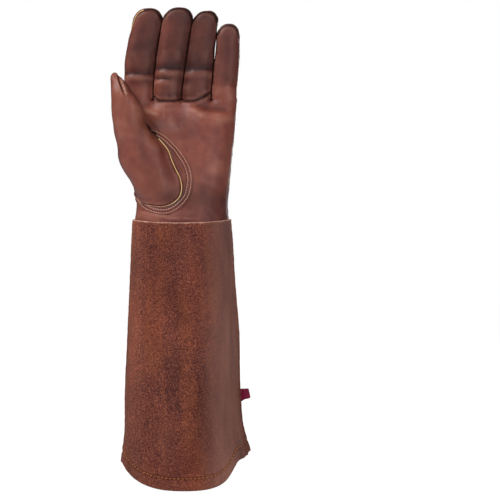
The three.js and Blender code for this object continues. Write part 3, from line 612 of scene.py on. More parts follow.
def along(q, line):
    """Distance to a run of points seen from the front, and how far along it the nearest place lies."""
    line = np.array(line, float)
    at = q[:, [0, 2]]
    lengths = np.linalg.norm(np.diff(line, axis=0), axis=1)
    best, share, done = np.full(len(q), 1e9), np.zeros(len(q)), 0.0
    for a, b, length in zip(line[:-1], line[1:], lengths):
        t = np.clip((at - a) @ (b - a) / length ** 2, 0, 1)
        far = np.hypot(*(at - a - t[:, None] * (b - a)).T)
        share = np.where(far < best, (done + t * length) / lengths.sum(), share)
        best = np.minimum(best, far)
        done += length
    return best, share


def folds(q, lines):
    """Soft rolls and hollows that swell and die away along their runs of points."""
    total = np.zeros(len(q))
    for line, height, width in lines:
        away, t = along(q, line)
        total += height * bell(away / width) * (ease(t / 0.3) * ease((1 - t) / 0.3) * 0.75 + 0.25)
    return total


def elastic_z(x):
    return ELASTIC_Z - 1 - 0.147 * (x + 4)


def gathers(q):
    """Pleats that run up and down from the elastic across the back, and its pull."""
    x, half, _, _ = palm_size(q[:, 2])
    at = (q[:, 0] - x) / half * 46
    wander = ripple(np.c_[at, np.zeros((len(at), 2))], 13.0, 3)
    over = q[:, 2] - elastic_z(q[:, 0])
    length = np.where(over > 0, 22 + 12 * wander, 9 + 3 * wander)
    pleat = (0.5 + 0.5 * np.cos(2 * np.pi * at / 9.4 + 1.6 * wander)) ** 1.4
    fine = ripple(np.c_[at, over * 0.12, np.zeros(len(at))], 2.6, 8)
    tall = bell(over / length)
    return 1.25 * pleat * tall - 0.8 * bell(over / 7) + 0.2 * fine * bell(over / (length + 4))


def joint_lines(q, f):
    """For each crease: its depth and width, how far points lie above it, and where it runs on its finger."""
    for i, at, depth, width, bow, first, last in JOINT_CREASES:
        aside = (q[:, 0] - finger_x(i, q[:, 2])) / (finger_width(i, q[:, 2]) / 2)
        there = (f == i) * ease((aside - first) / 0.9) * ease((last - aside) / 0.9)
        yield depth, width, q[:, 2] - at - bow * aside ** 2, there


def spots(q, rows):
    """Soft oval spots seen from the front."""
    return sum(amount * np.exp(-((q[:, 0] - x) / wide) ** 2 - ((q[:, 2] - up) / tall) ** 2)
               for x, up, wide, tall, amount in rows)


# %% All of the relief
def relief(q, f, seam):
    z, dy = q[:, 2], q[:, 1] - middle_y(q[:, 2])
    front, back = ease(-dy / 9), ease(dy / 9)
    height = -1.05 * bell(seam / 1.0) + 0.35 * bell((seam - 3.0) / 1.8)
    height += 0.3 * ripple(q, 3.4, 5) * bell((seam - 2) / 2.4)
    high = ease((z - WEB_Z - 4) / 6)
    wander = ripple(q, (9, 9, 30), 4)
    rooted = np.isin(f, (1, 2)) * ease((z - root_seam_z(q[:, 0])) / 4)
    height += front * rooted * (0.7 * bell((z - 391) / 8) + folds(q, ROOT_FOLDS))
    for depth, width, away, there in joint_lines(q, f):
        away = away + 0.7 * wander
        crease = bell(away / np.where(away > 0, 2.3 * width, 0.8 * width))
        crease -= 0.75 * bell((away + 2.6 * width) / (1.7 * width))
        height += -depth * crease * there * front * high
    height += front * (1 - on_thumb) * ease((WEB_Z + 2 - z) / 8) * folds(q, PALM_FOLDS)
    height += on_thumb * ease(-(q[:, 1] + 22) / 8) * folds(q, THUMB_FOLDS)
    height += back * gathers(q) * ease((WEB_Z - z) / 20) * (1 - on_thumb)
    height += 0.5 * ripple(q, (21, 21, 30), 1) + 0.28 * ripple(q, (8, 8, 12), 2)
    gap = np.min([np.abs(q[:, 0] - gap_x(k, z)) for k in range(3)], axis=0)
    tight = np.where(z > WEB_Z - 6, ease((gap - 0.3) / 3.5), 1)
    return np.where(height > 0, height * tight, height * mix(0.1, 1, tight))


# across, up, reach across, reach up, and how much darker: painted shade, and painted light where below zero
PAINTED_HIDE_SHADES = [(-20, 356, 26, 8, 0.3), (-1, 360, 5, 12, 0.22), (24, 330, 15, 26, -0.22), (18, 284, 30, 15, 0.42),
               (-30, 270, 26, 6, -0.3), (-24, 303, 15, 16, 0.3), (-12, 284, 10, 9, 0.35), (-60, 330, 9, 34, -0.15),
               (-37, 369.5, 9, 4, -0.35), (-24, 371, 8, 5, -0.2), (8, 369, 9, 5, -0.22), (24, 360, 12, 5, -0.25),
               (34, 363, 18, 5, -0.26), (-39, 330, 5, 18, 0.25), (-30, 326, 8, 16, 0.1), (38, 372, 12, 4, 0.1),
               (43, 312, 8, 40, -0.34), (-40, 361, 8, 6, -0.3), (-32, 351, 5, 8, -0.3), (0, 343, 26, 5, 0.12),
               (-10, 322, 12, 14, 0.12)]
# the same five numbers for painted highlights, drawn in the paler rubbed colour, with some wear
PAINTED_HIGHLIGHTS_AND_WEAR = [(-24, 267, 32, 6, 0.42), (-31, 370, 11, 3.8, 0.5), (32, 364, 16, 4.2, 0.45), (-12, 393, 6, 5, 0.16),
          (16, 393, 7, 5, 0.12), (-60, 350, 7, 30, 0.1), (31, 312, 8, 24, 0.2), (43, 312, 6, 36, 0.14),
          (-40, 361, 7, 6, 0.25), (-32, 351, 5, 8, 0.4)]
# for each finger, painted shade: how dark it is, how much darker to its right, the painted light down its left,
# and at its root
PAINTED_FINGER_SHADES = [(0.47, 0.54, 0.52, 0.36), (0.14, 0.1, -0.06, 0.0), (0.16, 0.18, -0.1, 0.1), (0.1, 0.22, 0.2, 0.1)]
PLAIN_SHADE = 0.24


def painted_hide_shade(q, f):
    """Painted shade on the front, from 0 to 1: the fingers darkest, the palm's middle least, painted light on lit
    sides and rises, creases dark above and light below.
    """
    z, front = q[:, 2], ease((middle_y(q[:, 2]) - q[:, 1]) / 6)
    aside = (q[:, 0] - finger_x_of(q, f)) / (np.choose(f, [finger_width(i, z) for i in range(4)]) / 2)
    deep, turned, lit, root = (np.choose(f, row) for row in PAINTED_FINGER_SHADES)
    deep = deep + turned * np.clip(aside, -1, 1) - lit * bell((aside + 0.72) / 0.28)
    deep = deep - root * bell((z - 396) / 8) - 0.1 * bell((z - 448) / 8)
    shade = PLAIN_SHADE + spots(q, PAINTED_HIDE_SHADES) + ease((z - root_seam_z(q[:, 0]) + 2) / 8) * (1 - on_thumb) * deep
    # each joint crease is painted darker above its line and lighter below it
    for depth, width, away, there in joint_lines(q, f):
        band = bell(away / np.where(away > 0, 3.2 * width, width))
        shade += 0.2 * depth * there * (band - bell((away + 2.4 * width) / (1.4 * width)))
    return np.clip(mix(PLAIN_SHADE, shade, front), 0, 1)


on_thumb = ease((seam_measures(rest, finger)["thumb"] + 0.3) / 1.5)
height = relief(rest, finger, from_seam)
skin = rest + normals_of(rest, skin_faces) * height[:, None]
# the sides of neighbouring fingers touch, apart from a chink between the ring and the little finger
for k in range(3):
    aside = skin[:, 0] - gap_x(k, skin[:, 2])
    reach = ease((skin[:, 2] - WEB_Z + 2) / 3) * (1 - ease((np.abs(aside) - 0.6) / 2.2))
    if k == 2:
        reach *= 1 - bell((skin[:, 2] - CHINK_Z) / 8)
    skin[:, 0] -= aside * reach
skin = smoothed(skin, skin_faces, 10, 0.5, ease((skin[:, 2] - TIP_SEAM_Z) / 4) * bell(from_seam / 2.4))
skin_normals = normals_of(skin, skin_faces)
# ridges read high and creases low: the materials rub the high parts paler and paint shade into the low ones, and
# painted highlights are added on the front
hollow = ((skin - smoothed(skin, skin_faces, 14)) * skin_normals).sum(1)
ridge = np.clip(0.5 + hollow / 0.7 + spots(rest, PAINTED_HIGHLIGHTS_AND_WEAR) * (rest[:, 1] < 0), 0, 1)
# the painted shade of the hand, darker again beside the seams
shade = np.clip(painted_hide_shade(rest, finger) + 0.3 * bell(from_seam / 2.0), 0, 1)
print("relief from", round(height.min(), 2), "to", round(height.max(), 2), "mm")

# %% [markdown]
# ## Sewn pieces of the hand
# Each piece takes its own triangles of the skin. Its edge draws back a little from the seam, and Solidify gives
# the leather its thickness inwards, so that the glove is a real hollow shell.

# %% From skin to pieces
def own_part(faces, *arrays):
    used, local = np.unique(faces, return_inverse=True)
    return local.reshape(-1, 3), [a[used] for a in arrays]


def draw_back(points, faces, amount=0.13):
    """Moves the open edge of a piece a little into the piece."""
    ends = np.sort(corner_pairs(faces), axis=1)
    edges, count = np.unique(ends, axis=0, return_counts=True)
    border = np.zeros(len(points), bool)
    border[edges[count == 1]] = True
    way = smoothed(points, faces, 1, 1.0) - points
    normal = normals_of(points, faces)
    way -= normal * (way * normal).sum(1, keepdims=True)
    way /= np.maximum(np.linalg.norm(way, axis=1, keepdims=True), 1e-6)
    return points + np.where(border[:, None], way * amount, 0)


def add_values(piece, **values):
    for name, value in values.items():
        attribute = piece.data.attributes.new(name, "FLOAT", "POINT")
        attribute.data.foreach_set("value", np.asarray(value, np.float32))


def finish_piece(piece, thick, replaces, sharp=50):
    """Gives a sewn sheet its thickness, if it has none yet, and hands the piece to the frame."""
    if thick:
        apply_modifier(piece, "SOLIDIFY", thickness=thick * MM, offset=-1.0, use_rim=True)
    chosen(piece)
    bpy.ops.object.shade_smooth_by_angle(angle=math.radians(sharp))
    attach(piece, "root")
    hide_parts(replaces)
    return piece


hand_pieces = {}
for k, name in enumerate(PIECES):
    # each piece takes its share of the ridge measure, for rubbed ridges and painted crease shade, and of the
    # painted shade
    faces, (points, wear_and_shade, seam, dark) = own_part(skin_faces[labels == k], skin, ridge, from_seam, shade)
    piece = new_object("leather_" + name, draw_back(points, faces), faces)
    add_values(piece, ridge=wear_and_shade, seam=bell(seam / 1.6), shade=dark)
    hand_pieces[name] = finish_piece(piece, LEATHER, name)
print("hand", sum(len(p.data.polygons) for p in hand_pieces.values()), "faces")

# %% [markdown]
# ## The crescent patch
# The patch is a second layer of leather round the base of the thumb, held by two rows of stitches. It is a copy
# of the palm's skin inside a curve, lifted by the leather's thickness. The rows of thread press grooves in it.

# %% Curves across the palm
def smooth_curve(points, step=1.5):
    """Even points along a smooth closed curve through the given ones."""
    p = np.array(points, float)
    t = np.linspace(0, 1, 16, endpoint=False)[:, None]
    out = []
    for i in range(len(p)):
        a, b, c, d = (p[(i + k) % len(p)] for k in (-1, 0, 1, 2))
        out.append(0.5 * (2 * b + (c - a) * t + (2 * a - 5 * b + 4 * c - d) * t ** 2
                          + (3 * b - a - 3 * c + d) * t ** 3))
    return even_steps(np.vstack(out + [p[:1]]), step)


def even_steps(line, step):
    run = np.r_[0, np.cumsum(np.linalg.norm(np.diff(line, axis=0), axis=1))]
    at = np.linspace(0, run[-1], max(int(round(run[-1] / step)), 2) + 1)
    return np.stack([np.interp(at, run, line[:, k]) for k in range(line.shape[1])], 1)


def inside_curve(q, curve):
    """Distance across the front to a closed curve, above zero inside it."""
    at = q[:, [0, 2]]
    best, wind = np.full(len(q), 1e9), np.zeros(len(q), int)
    for a, b in zip(curve[:-1], curve[1:]):
        way = b - a
        t = np.clip((at - a) @ way / max(way @ way, 1e-9), 0, 1)
        best = np.minimum(best, np.hypot(*(at - a - t[:, None] * way).T))
        turn = way[0] * (at[:, 1] - a[1]) - way[1] * (at[:, 0] - a[0])
        wind += ((a[1] <= at[:, 1]) & (b[1] > at[:, 1]) & (turn > 0)).astype(int)
        wind -= ((a[1] > at[:, 1]) & (b[1] <= at[:, 1]) & (turn < 0)).astype(int)
    return np.where(wind != 0, best, -best)


PATCH_EDGE = smooth_curve([(-38, 353), (-25, 349), (-15, 342.5), (-6, 333.5), (0, 325.5), (5, 317.5), (8.5, 307),
                           (9, 299), (6.5, 285.5), (0.5, 276.5), (-9.5, 269), (-20, 266.6), (-31, 268.6),
                           (-42, 274.3), (-49, 283), (-60, 297), (-70, 330), (-60, 352)])
palm_faces, (palm_rest, palm_skin, palm_shade, palm_seam) = own_part(
    skin_faces[labels == 0], rest, skin, shade, from_seam)
palm_rest, palm_faces, (palm_skin, palm_shade, palm_seam) = cut_along(
    palm_rest, palm_faces, [palm_skin, palm_shade, palm_seam], lambda q, _: inside_curve(q, PATCH_EDGE))
within = inside_curve(palm_rest, PATCH_EDGE)
inside = deciding(within, palm_faces) > 0
patch_faces, (patch_base, patch_seam, patch_shade, patch_in) = own_part(
    palm_faces[inside], palm_skin, palm_seam, palm_shade, within)
# the grooves lie a little further in than the rows of thread, which are set on the finished edge
rows = sum(bell((patch_in - at - 0.7) / 0.75) for at in PATCH_ROWS)
between = bell((patch_in - 3.1) / 1.0)
lift = SEAM_GAP + PATCH_LEATHER - 0.6 * rows + 0.35 * between - 0.5 * bell(patch_in / 0.5)
lift -= 0.9 * bell(patch_seam / 1.2)
patch_points = patch_base + normals_of(patch_base, patch_faces) * lift[:, None]
patch = new_object("leather_thumb_patch", draw_back(patch_points, patch_faces), patch_faces)
# low in the grooves of the rows, so crease shade is painted there, and high at the edge, which is rubbed paler;
# the patch keeps the palm's painted shade, a little darker inside its edge
dented = np.clip(0.5 - 0.42 * rows + 0.5 * bell(patch_in / 0.5) + 0.1 * between, 0, 1)
add_values(patch, ridge=dented, seam=bell(patch_seam / 1.6), shade=patch_shade + 0.18 * ease(patch_in / 3))
finish_piece(patch, PATCH_LEATHER, "thumb_patch")
print("patch", len(patch.data.polygons), "faces")

# %% [markdown]
# ## The suede cuff
# The cuff is two panels of split leather, sewn together down both sides. It is a tube that flares towards the
# mouth, so it is drawn as a grid of angles and heights: the same rule as the frame's, with many more points.
# Suede is thick and soft, so it gets broad dents, long soft folds and small lumps.

# %% Where the cuff's surface lies
CUFF_FOLDS = [(0.95, 0.018, -0.22, -0.1, 0.22), (0.875, 0.045, 0.05, -0.1, 0.9), (0.76, 0.05, -0.04, 0.15, 0.95),
              (0.62, 0.05, 0.035, -0.1, 0.7), (0.2, 0.06, -0.045, -0.1, 0.6), (0.36, 0.05, 0.04, -0.1, 0.85)]
WRIST = palm_size(np.float64(CUFF_LENGTH))


def hem_z(angle):
    side, back = np.cos(angle), np.maximum(np.sin(angle), 0)
    wave = 9 * bell((angle - 2 * np.pi + 0.6) / 0.2)
    return np.where(side > 0, 31 * np.abs(side) ** 3.6, 20 * np.abs(side) ** 3.4) + 4 * back + wave


def cuff_top_z(angle):
    return CUFF_LENGTH - WRIST_SEAM_DIP * np.maximum(-np.sin(angle), 0) ** 1.5


def cuff_point(angle, z):
    up = z / CUFF_LENGTH
    behind = np.sin(angle) > 0
    clear = SEAM_GAP + SUEDE
    half = mix(WRIST[1] + clear, MOUTH_WIDTH / 2, read(CUFF, "flare", up))
    depth = mix(np.where(behind, WRIST[3], WRIST[2]) + clear, MOUTH_DEPTH / 2, read(CUFF, "swell", up))
    p = mix(HAND_POWER, MOUTH_POWER, read(CUFF, "point", up))
    y = depth * power(np.sin(angle), p)
    ridge = 1.4 * bell(y / 2.4) * np.clip((CUFF_LENGTH - z) / 26, 0, 1)
    x = half * power(np.cos(angle), p) + np.sign(np.cos(angle)) * ridge
    fold = 0
    for turn, width, deep, bottom, top in CUFF_FOLDS:
        along = np.clip((up - bottom) / (top - bottom), 0, 1)
        fold = fold + deep * bell((angle / (2 * np.pi) - turn) / width) * np.sin(np.pi * along) ** 0.6
    fold = MOUTH_DEPTH / 2 * fold * np.abs(np.sin(angle)) ** 0.4
    shift = read(CUFF, "shift", up) * MOUTH_WIDTH / 2
    return np.stack([WRIST[0] + shift + x, y + fold * np.sign(y), z + 0 * angle], -1)


# %% A panel of the cuff
def grid_faces(rows, columns):
    at = np.arange(rows * columns).reshape(rows, columns)
    return np.stack([at[:-1, :-1], at[:-1, 1:], at[1:, 1:], at[1:, :-1]], -1).reshape(-1, 4)


def grid_normals(points):
    across, up = np.gradient(points, axis=1), np.gradient(points, axis=0)
    normal = np.cross(across, up)
    return normal / np.maximum(np.linalg.norm(normal, axis=2, keepdims=True), 1e-9)


def suede_relief(q):
    """Dents, soft upright folds and lumps of the suede."""
    out = 0.9 * ripple(q, (42, 42, 66), 11) + 0.5 * ripple(q, (17, 17, 90), 12)
    out += 0.16 * ripple(q, 7, 13) + 0.07 * ripple(q, 3, 14)
    return out + 0.55 * bell((q[:, 2] - 250) / 14) * ripple(q, (8, 8, 22), 15)


# across, up, reach across, reach up, and how much darker the front of the suede is
SUEDE_SHADES = [(24, 215, 8, 62, 0.4), (24, 70, 8, 80, 0.16), (-8, 100, 18, 46, -0.3), (-14, 158, 14, 30, -0.14),
                (-46, 228, 6, 22, -0.3), (-46, 60, 8, 50, -0.24), (46, 60, 14, 60, 0.16), (-30, 150, 8, 34, 0.1)]


def suede_shade(q):
    """How much darker the suede is: cloudy, lighter down the thumb's side, deeper to both ends."""
    x, z, front = q[:, 0], q[:, 2], ease(-q[:, 1] / 10)
    shade = 0.22 + 0.22 * ripple(q, (16, 16, 60), 18) + 0.1 * bell((z - 60) / 60) + 0.12 * bell((z - 235) / 25)
    shade += front * spots(q, SUEDE_SHADES)
    return np.clip(shade - 0.2 * bell((x + 47) / 6) + 0.12 * bell((x - 56) / 7), 0, 1)


def suede_smooth(q):
    """Where the front, on the little finger's side, is paler and greyer: painted sheen on a nap drawn smoother
    there.
    """
    x, front = q[:, 0] + 3 * ripple(q, (12, 12, 40), 19), ease(-q[:, 1] / 12)
    return 0.7 * front * ease((x - 12) / 32)


def cuff_panel(name, first, last, columns=170, rows=190):
    u = np.linspace(0, 1, columns)
    angle = first + (last - first) * (mix(u, (1 - np.cos(np.pi * u)) / 2, 0.75))
    v = np.linspace(0, 1, rows)[:, None]
    top = cuff_top_z(angle) + 0.35 * ripple(np.c_[angle * 40, angle * 0, angle * 0], 6, 16)
    low = hem_z(angle) + HEM_HEIGHT + 0.15
    z = mix(low, top, mix(v, 1 - (1 - v) ** 1.3, 0.5))
    points = cuff_point(angle[None, :] + 0 * z, z)
    flat = points.reshape(-1, 3)
    run = np.r_[0, np.cumsum(np.linalg.norm(np.diff(points[rows // 2], axis=0), axis=1))]
    aside = np.minimum(run, run[-1] - run)[None, :] + 0 * z
    from_hem, from_top = z - low, top - z
    seam = -1.0 * bell(aside / 1.1) + 0.5 * bell((aside - 3.2) / 1.8)
    seam += 0.35 * bell((aside - 2.5) / 2.5) * ripple(flat, 4.0, 17).reshape(z.shape)
    hem = -0.75 * bell(from_hem / 1.0) + 0.3 * bell((from_hem - 3) / 2)
    out = suede_relief(flat).reshape(z.shape) * ease(from_hem / 6) * ease(from_top / 2) + seam + hem
    made = points + grid_normals(points) * out[..., None]
    made[:, 0] += (made[:, 1] - made[:, 0]) * 0.15
    made[:, -1] += (made[:, -2] - made[:, -1]) * 0.15
    panel = new_object(name, made.reshape(-1, 3), grid_faces(rows, columns))
    # the suede's rises are rubbed paler and its dents get painted crease shade; it is darker beside the side seams
    # and above the hem
    wear_and_shade = np.clip(0.5 + (out - 0.1) / 2.2, 0, 1)
    raw = ease((0.95 + 0.3 * ripple(flat, 6, 23).reshape(z.shape) - from_top) / 0.45)
    add_values(panel, ridge=wear_and_shade.ravel(), seam=np.maximum(bell(aside / 1.6), bell(from_hem / 1.4)).ravel(),
               raw=raw.ravel(), shade=suede_shade(flat), smooth=suede_smooth(flat))
    return panel


THUMB_SIDE = np.pi - 0.10
cuff_front = cuff_panel("suede_cuff_front", THUMB_SIDE, 2 * np.pi)
cuff_back = cuff_panel("suede_cuff_back", 0, THUMB_SIDE)
finish_piece(cuff_front, SUEDE, "cuff_front", 40)
finish_piece(cuff_back, SUEDE, "cuff_back", 40)
print("cuff", len(cuff_front.data.polygons) + len(cuff_back.data.polygons), "faces")

# %% [markdown]
# ## The hem
# The suede is turned up inside the mouth and held by one row of orange thread. From outside that reads as a
# rounded edge with a groove above it, so the hem is a section with a round foot, carried round the mouth.

# %% Hem ring
def outward(line):
    """Level directions out of a closed ring of points."""
    way = np.cross(np.roll(line, -1, -2) - np.roll(line, 1, -2), [0, 0, 1.0])
    return way / np.linalg.norm(way, axis=-1, keepdims=True)


def hem_ring(steps=420):
    angle = np.linspace(0, 2 * np.pi, steps, endpoint=False)
    angle = angle - 0.189 * np.sin(2 * angle)
    half = (SUEDE + 0.9) / 2
    foot = [(half * np.cos(t) - half, half + half * np.sin(t)) for t in np.linspace(0, -np.pi, 9)]
    section = [(-0.75, HEM_HEIGHT - 0.15), (-0.15, HEM_HEIGHT - 1.2), (0.3, HEM_HEIGHT - 3.4)]
    section += [(0.35, 6.0), *((0.35 + a, b) for a, b in foot)]
    section += [(0.35 - 2 * half, h) for h in (5.0, 8.0, HEM_HEIGHT + 2.0)]
    section += [(0.75 - 2 * half, HEM_HEIGHT + 2.0), (0.75 - 2 * half, HEM_HEIGHT - 0.4)]
    section = even_steps(np.array(section, float), 1.0)
    base = np.stack([cuff_point(angle, hem_z(angle) + up) for _, up in section])
    lumps = 0.25 * ripple(base.reshape(-1, 3), (5, 5, 9), 21) + 0.3 * ripple(base.reshape(-1, 3), (14, 14, 30), 22)
    out = section[:, 0][:, None] + lumps.reshape(base.shape[:2]) * ease((HEM_HEIGHT - section[:, 1]) / 3)[:, None]
    points = base + outward(base) * out[..., None]
    at, onward, faces = around(points)
    faces = faces[:, [0, 3, 2, 1]]
    cap = np.stack([at[-1], at[0], onward[0], onward[-1]], -1)
    ring = new_object("suede_hem", points.reshape(-1, 3), np.vstack([faces, cap]))
    # the hem's lumps are rubbed paler and its groove under the thread gets painted crease shade
    add_values(ring, ridge=np.clip(0.5 + out / 1.6, 0, 1).ravel(),
               seam=(bell((section[:, 1] - HEM_HEIGHT) / 1.4)[:, None] + 0 * out).ravel(),
               raw=(0 * out).ravel(), shade=suede_shade(points.reshape(-1, 3)),
               smooth=suede_smooth(points.reshape(-1, 3)))
    return ring


hem = hem_ring()
chosen(hem)
bpy.ops.object.mode_set(mode="EDIT")
bpy.ops.mesh.select_all(action="SELECT")
bpy.ops.mesh.normals_make_consistent(inside=False)
bpy.ops.object.mode_set(mode="OBJECT")
finish_piece(hem, 0, "hem", 60)
print("hem", len(hem.data.polygons), "faces")

# %% [markdown]
# ## Piping and thread
# The welt is a cord covered in gold leather, caught in the seam. The seam of the thumb shows the same gold.
# Both are tubes that follow the seam's own points. Stitches are small capsules, modelled once and copied along
# a line, each one lying in the dent that its pull makes.

# %% Lines that follow the seams
def chains(edges):
    """Joins edges into runs of points."""
    near = {}
    for a, b in edges.tolist():
        near.setdefault(a, []).append(b)
        near.setdefault(b, []).append(a)
    runs, used = [], set()
    for start in [p for p in near if len(near[p]) == 1] + list(near):
        run, onward = [], [] if start in used else [start]
        while onward:
            run.append(onward[0])
            used.add(onward[0])
            onward = [p for p in near[run[-1]] if p not in used]
        runs.append(run)
    return sorted(runs, key=len, reverse=True)


def seam_run(a, b, keep):
    """The longest run of the seam between two pieces, in the part of the skin to keep."""
    edges = seam_ends[(seam_pairs == sorted((a, b))).all(1)]
    edges = edges[keep(rest[edges[:, 0]]) & keep(rest[edges[:, 1]])]
    return chains(edges)[0]


def evened(line):
    line = np.array(line, float)
    for _ in range(12):
        line[1:-1] = mix(line[1:-1], (line[:-2] + line[2:]) / 2, 0.5)
    return line


def tube(name, line, radius, resolution=3, swell=None):
    """A round cord along a line of points. Swell is its radius along the way, as a share."""
    curve = bpy.data.curves.new(name, "CURVE")
    curve.dimensions = "3D"
    curve.bevel_depth = radius * MM
    curve.bevel_resolution = resolution
    curve.use_fill_caps = True
    spline = curve.splines.new("POLY")
    spline.points.add(len(line) - 1)
    spline.points.foreach_set("co", np.c_[line * MM, np.ones(len(line))].ravel())
    if swell is not None:
        spline.points.foreach_set("radius", swell(np.linspace(0, 1, len(line))))
    chosen(linked(name, curve))
    bpy.ops.object.convert(target="MESH")
    piece = bpy.context.view_layer.objects.active
    bpy.ops.object.shade_smooth()
    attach(piece, "root")
    return piece


def out_from(run, amount):
    return evened(skin[run]) + evened(skin_normals[run]) * amount


# %% The welt and the gold seam of the thumb
welt_run = seam_run(0, 1, lambda q: (q[:, 0] < -20) & (q[:, 2] > CUFF_LENGTH + 0.5) & (q[:, 2] < 466))
if skin[welt_run[0], 2] > skin[welt_run[-1], 2]:
    welt_run = welt_run[::-1]
welt_line = even_steps(out_from(welt_run, 0.75), 1.2)
welt = tube("welt_piping", welt_line, 0.85, swell=lambda t: 1 - 0.5 * ease((t - 0.82) / 0.06))
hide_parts("welt")

thumb_run = seam_run(0, 7, lambda q: q[:, 2] > 0)
ring = skin[thumb_run]
start = int(np.argmin(np.hypot(ring[:, 0] + 27, ring[:, 2] - 339) + 5 * (ring[:, 1] > -5)))
ring = np.roll(np.array(thumb_run), -start)
if skin[ring[12], 2] > skin[ring[0], 2]:
    ring = np.roll(ring[::-1], 1)
end = int(np.argmax((skin[ring, 0] < -48) & (skin[ring, 2] < 320)))
thumb_line = even_steps(out_from(ring[:end], 0.62), 1.2)
thumb_seam = tube("thumb_seam_piping", thumb_line, 0.5,
                  swell=lambda t: 1 - 0.35 * ease((t - 0.5) / 0.2))
line_tree = tree_of(thumb_line * MM)
nearest = np.array([line_tree.find(p.co)[1] for p in thumb_seam.data.vertices])
add_values(thumb_seam, faded=ease((nearest / len(thumb_line) - 0.48) / 0.25))
print("welt", len(welt_line), "points; thumb seam", len(thumb_line), "from", thumb_line[0].round(), "to",
      thumb_line[-1].round())

# %% Stitches along a line
def surface_of(piece):
    return BVHTree.FromPolygons(points_of(piece.data).tolist(), [list(p.vertices) for p in piece.data.polygons])


def laid_on(surface, line, way, above, least=0.3):
    """Points across and up, put on the surface along the given way, with the surface's normals."""
    way = Vector(way)
    put, normals = [], []
    for x, up in line:
        there, normal, _, _ = surface.ray_cast(Vector((x, -300 * way.y, up)), way)
        if there is not None and abs(normal.dot(way)) > least:
            normal = normal if normal.dot(way) < 0 else -normal
            put.append(there + normal * above)
            normals.append(normal)
    return np.array(put), np.array(normals)


def capsule():
    bpy.ops.object.select_all(action="DESELECT")
    bpy.ops.mesh.primitive_uv_sphere_add(segments=6, ring_count=6, radius=1.0)
    ball = bpy.context.object
    points = points_of(ball.data) * MM
    faces = [tuple(p.vertices) for p in ball.data.polygons]
    bpy.data.objects.remove(ball)
    points[:, 2] = np.sign(points[:, 2]) * np.abs(points[:, 2]) ** 0.5
    return points, faces


STITCH = capsule()


def stitches(name, lines, length, gap, radius):
    """One mesh of stitches along lines of points with normals."""
    parts = []
    for line, normals in lines:
        run = np.r_[0, np.cumsum(np.linalg.norm(np.diff(line, axis=0), axis=1))]
        count = max(int(run[-1] / (length + gap)), 1)
        for k in range(count):
            ends = [(k + 0.5) * run[-1] / count + s * length / 2 for s in (-1, 1)]
            a, b = (np.array([np.interp(e, run, line[:, i]) for i in range(3)]) for e in ends)
            up = np.array([np.interp(sum(ends) / 2, run, normals[:, i]) for i in range(3)])
            along = b - a
            along /= np.linalg.norm(along) + 1e-9
            side = np.cross(up, along)
            side /= np.linalg.norm(side) + 1e-9
            up = np.cross(along, side)
            p, faces = STITCH
            arch = radius * 0.5 * (1 - p[:, 2] ** 2)
            placed = (a + b) / 2 + np.outer(p[:, 0] * radius, side) + np.outer(p[:, 1] * radius + arch, up)
            placed = placed + np.outer(p[:, 2] * length / 2, along)
            parts.append((placed, faces))
    piece = new_object(name, *joined(parts))
    chosen(piece)
    bpy.ops.object.shade_smooth()
    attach(piece, "root")
    print(name, len(parts), "stitches")
    return piece


# %% The rows of thread
def inset(curve, amount):
    """A closed curve moved inwards."""
    way = np.roll(curve[:-1], -1, 0) - np.roll(curve[:-1], 1, 0)
    normal = np.c_[-way[:, 1], way[:, 0]] / np.linalg.norm(way, axis=1, keepdims=True)
    area = np.sum(curve[:-1, 0] * np.roll(curve[:-1, 1], -1) - np.roll(curve[:-1, 0], -1) * curve[:-1, 1])
    return curve[:-1] + normal * amount * np.sign(area)


patch_surface, patch_rows = surface_of(patch), []
for amount in PATCH_ROWS:
    line = smooth_curve(inset(PATCH_EDGE, amount)[::3])
    part = [p for p in line if p[0] > -60 and p[1] < 352]
    put, normals = laid_on(patch_surface, part, (0, 1, 0), 0.05)
    steps = np.linalg.norm(np.diff(put, axis=0), axis=1)
    for piece in np.split(np.arange(len(put)), np.flatnonzero(steps > 5) + 1):
        if len(piece) > 3:
            patch_rows.append((put[piece], normals[piece]))
patch_thread = stitches("patch_stitches", patch_rows, 2.3, 0.3, 0.4)

zigzag = [(x, elastic_z(x) + (ZIGZAG if k % 2 else -ZIGZAG)) for k, x in enumerate(np.linspace(-40, 41, 19))]
put, _ = laid_on(surface_of(hand_pieces["back"]), even_steps(np.array(zigzag), 0.7), (0, -1, 0), 0.12, 0.4)
elastic_thread = tube("elastic_stitch", put, 0.5, 2)

angle = np.linspace(0, 2 * np.pi, 700)
line = cuff_point(angle, hem_z(angle) + HEM_HEIGHT + 0.1)
outwards = outward(line[:-1])
outwards = np.vstack([outwards, outwards[:1]])
hem_thread = stitches("hem_stitches", [(line - outwards * 0.15, outwards)], 3.0, 1.0, 0.42)

thumb_surface = surface_of(hand_pieces["thumb"])
# the slit near the thumb's tip, by points across and up, crossed by a ladder of stitches
slit = even_steps(np.array([(-62.4, 402.0), (-58.8, 391), (-54.8, 380.0)]), 2.1)
way = np.gradient(slit, axis=0)
way /= np.linalg.norm(way, axis=1, keepdims=True)
aside = np.c_[-way[:, 1], way[:, 0]]
ladder = []
for at, down, out in zip(slit[1:-1], way[1:-1], aside[1:-1]):
    rung = np.array([at + out * 0.5 - down * 1.0, at + out * 1.7, at + out * 3.0 + down * 1.0])
    put, normals = laid_on(thumb_surface, rung, (0, 1, 0), 0.15, 0.05)
    if len(put) == 3:
        ladder.append((put, normals))
thumb_thread = stitches("thumb_tip_stitches", ladder, 3.0, 0.1, 0.36)

# %% [markdown]
# ## The ribbon tab
# A short loop of woven ribbon is caught in the side seam of the cuff. It is bent from a flat strip: out from
# the seam, round and back, drooping a little under its own weight.

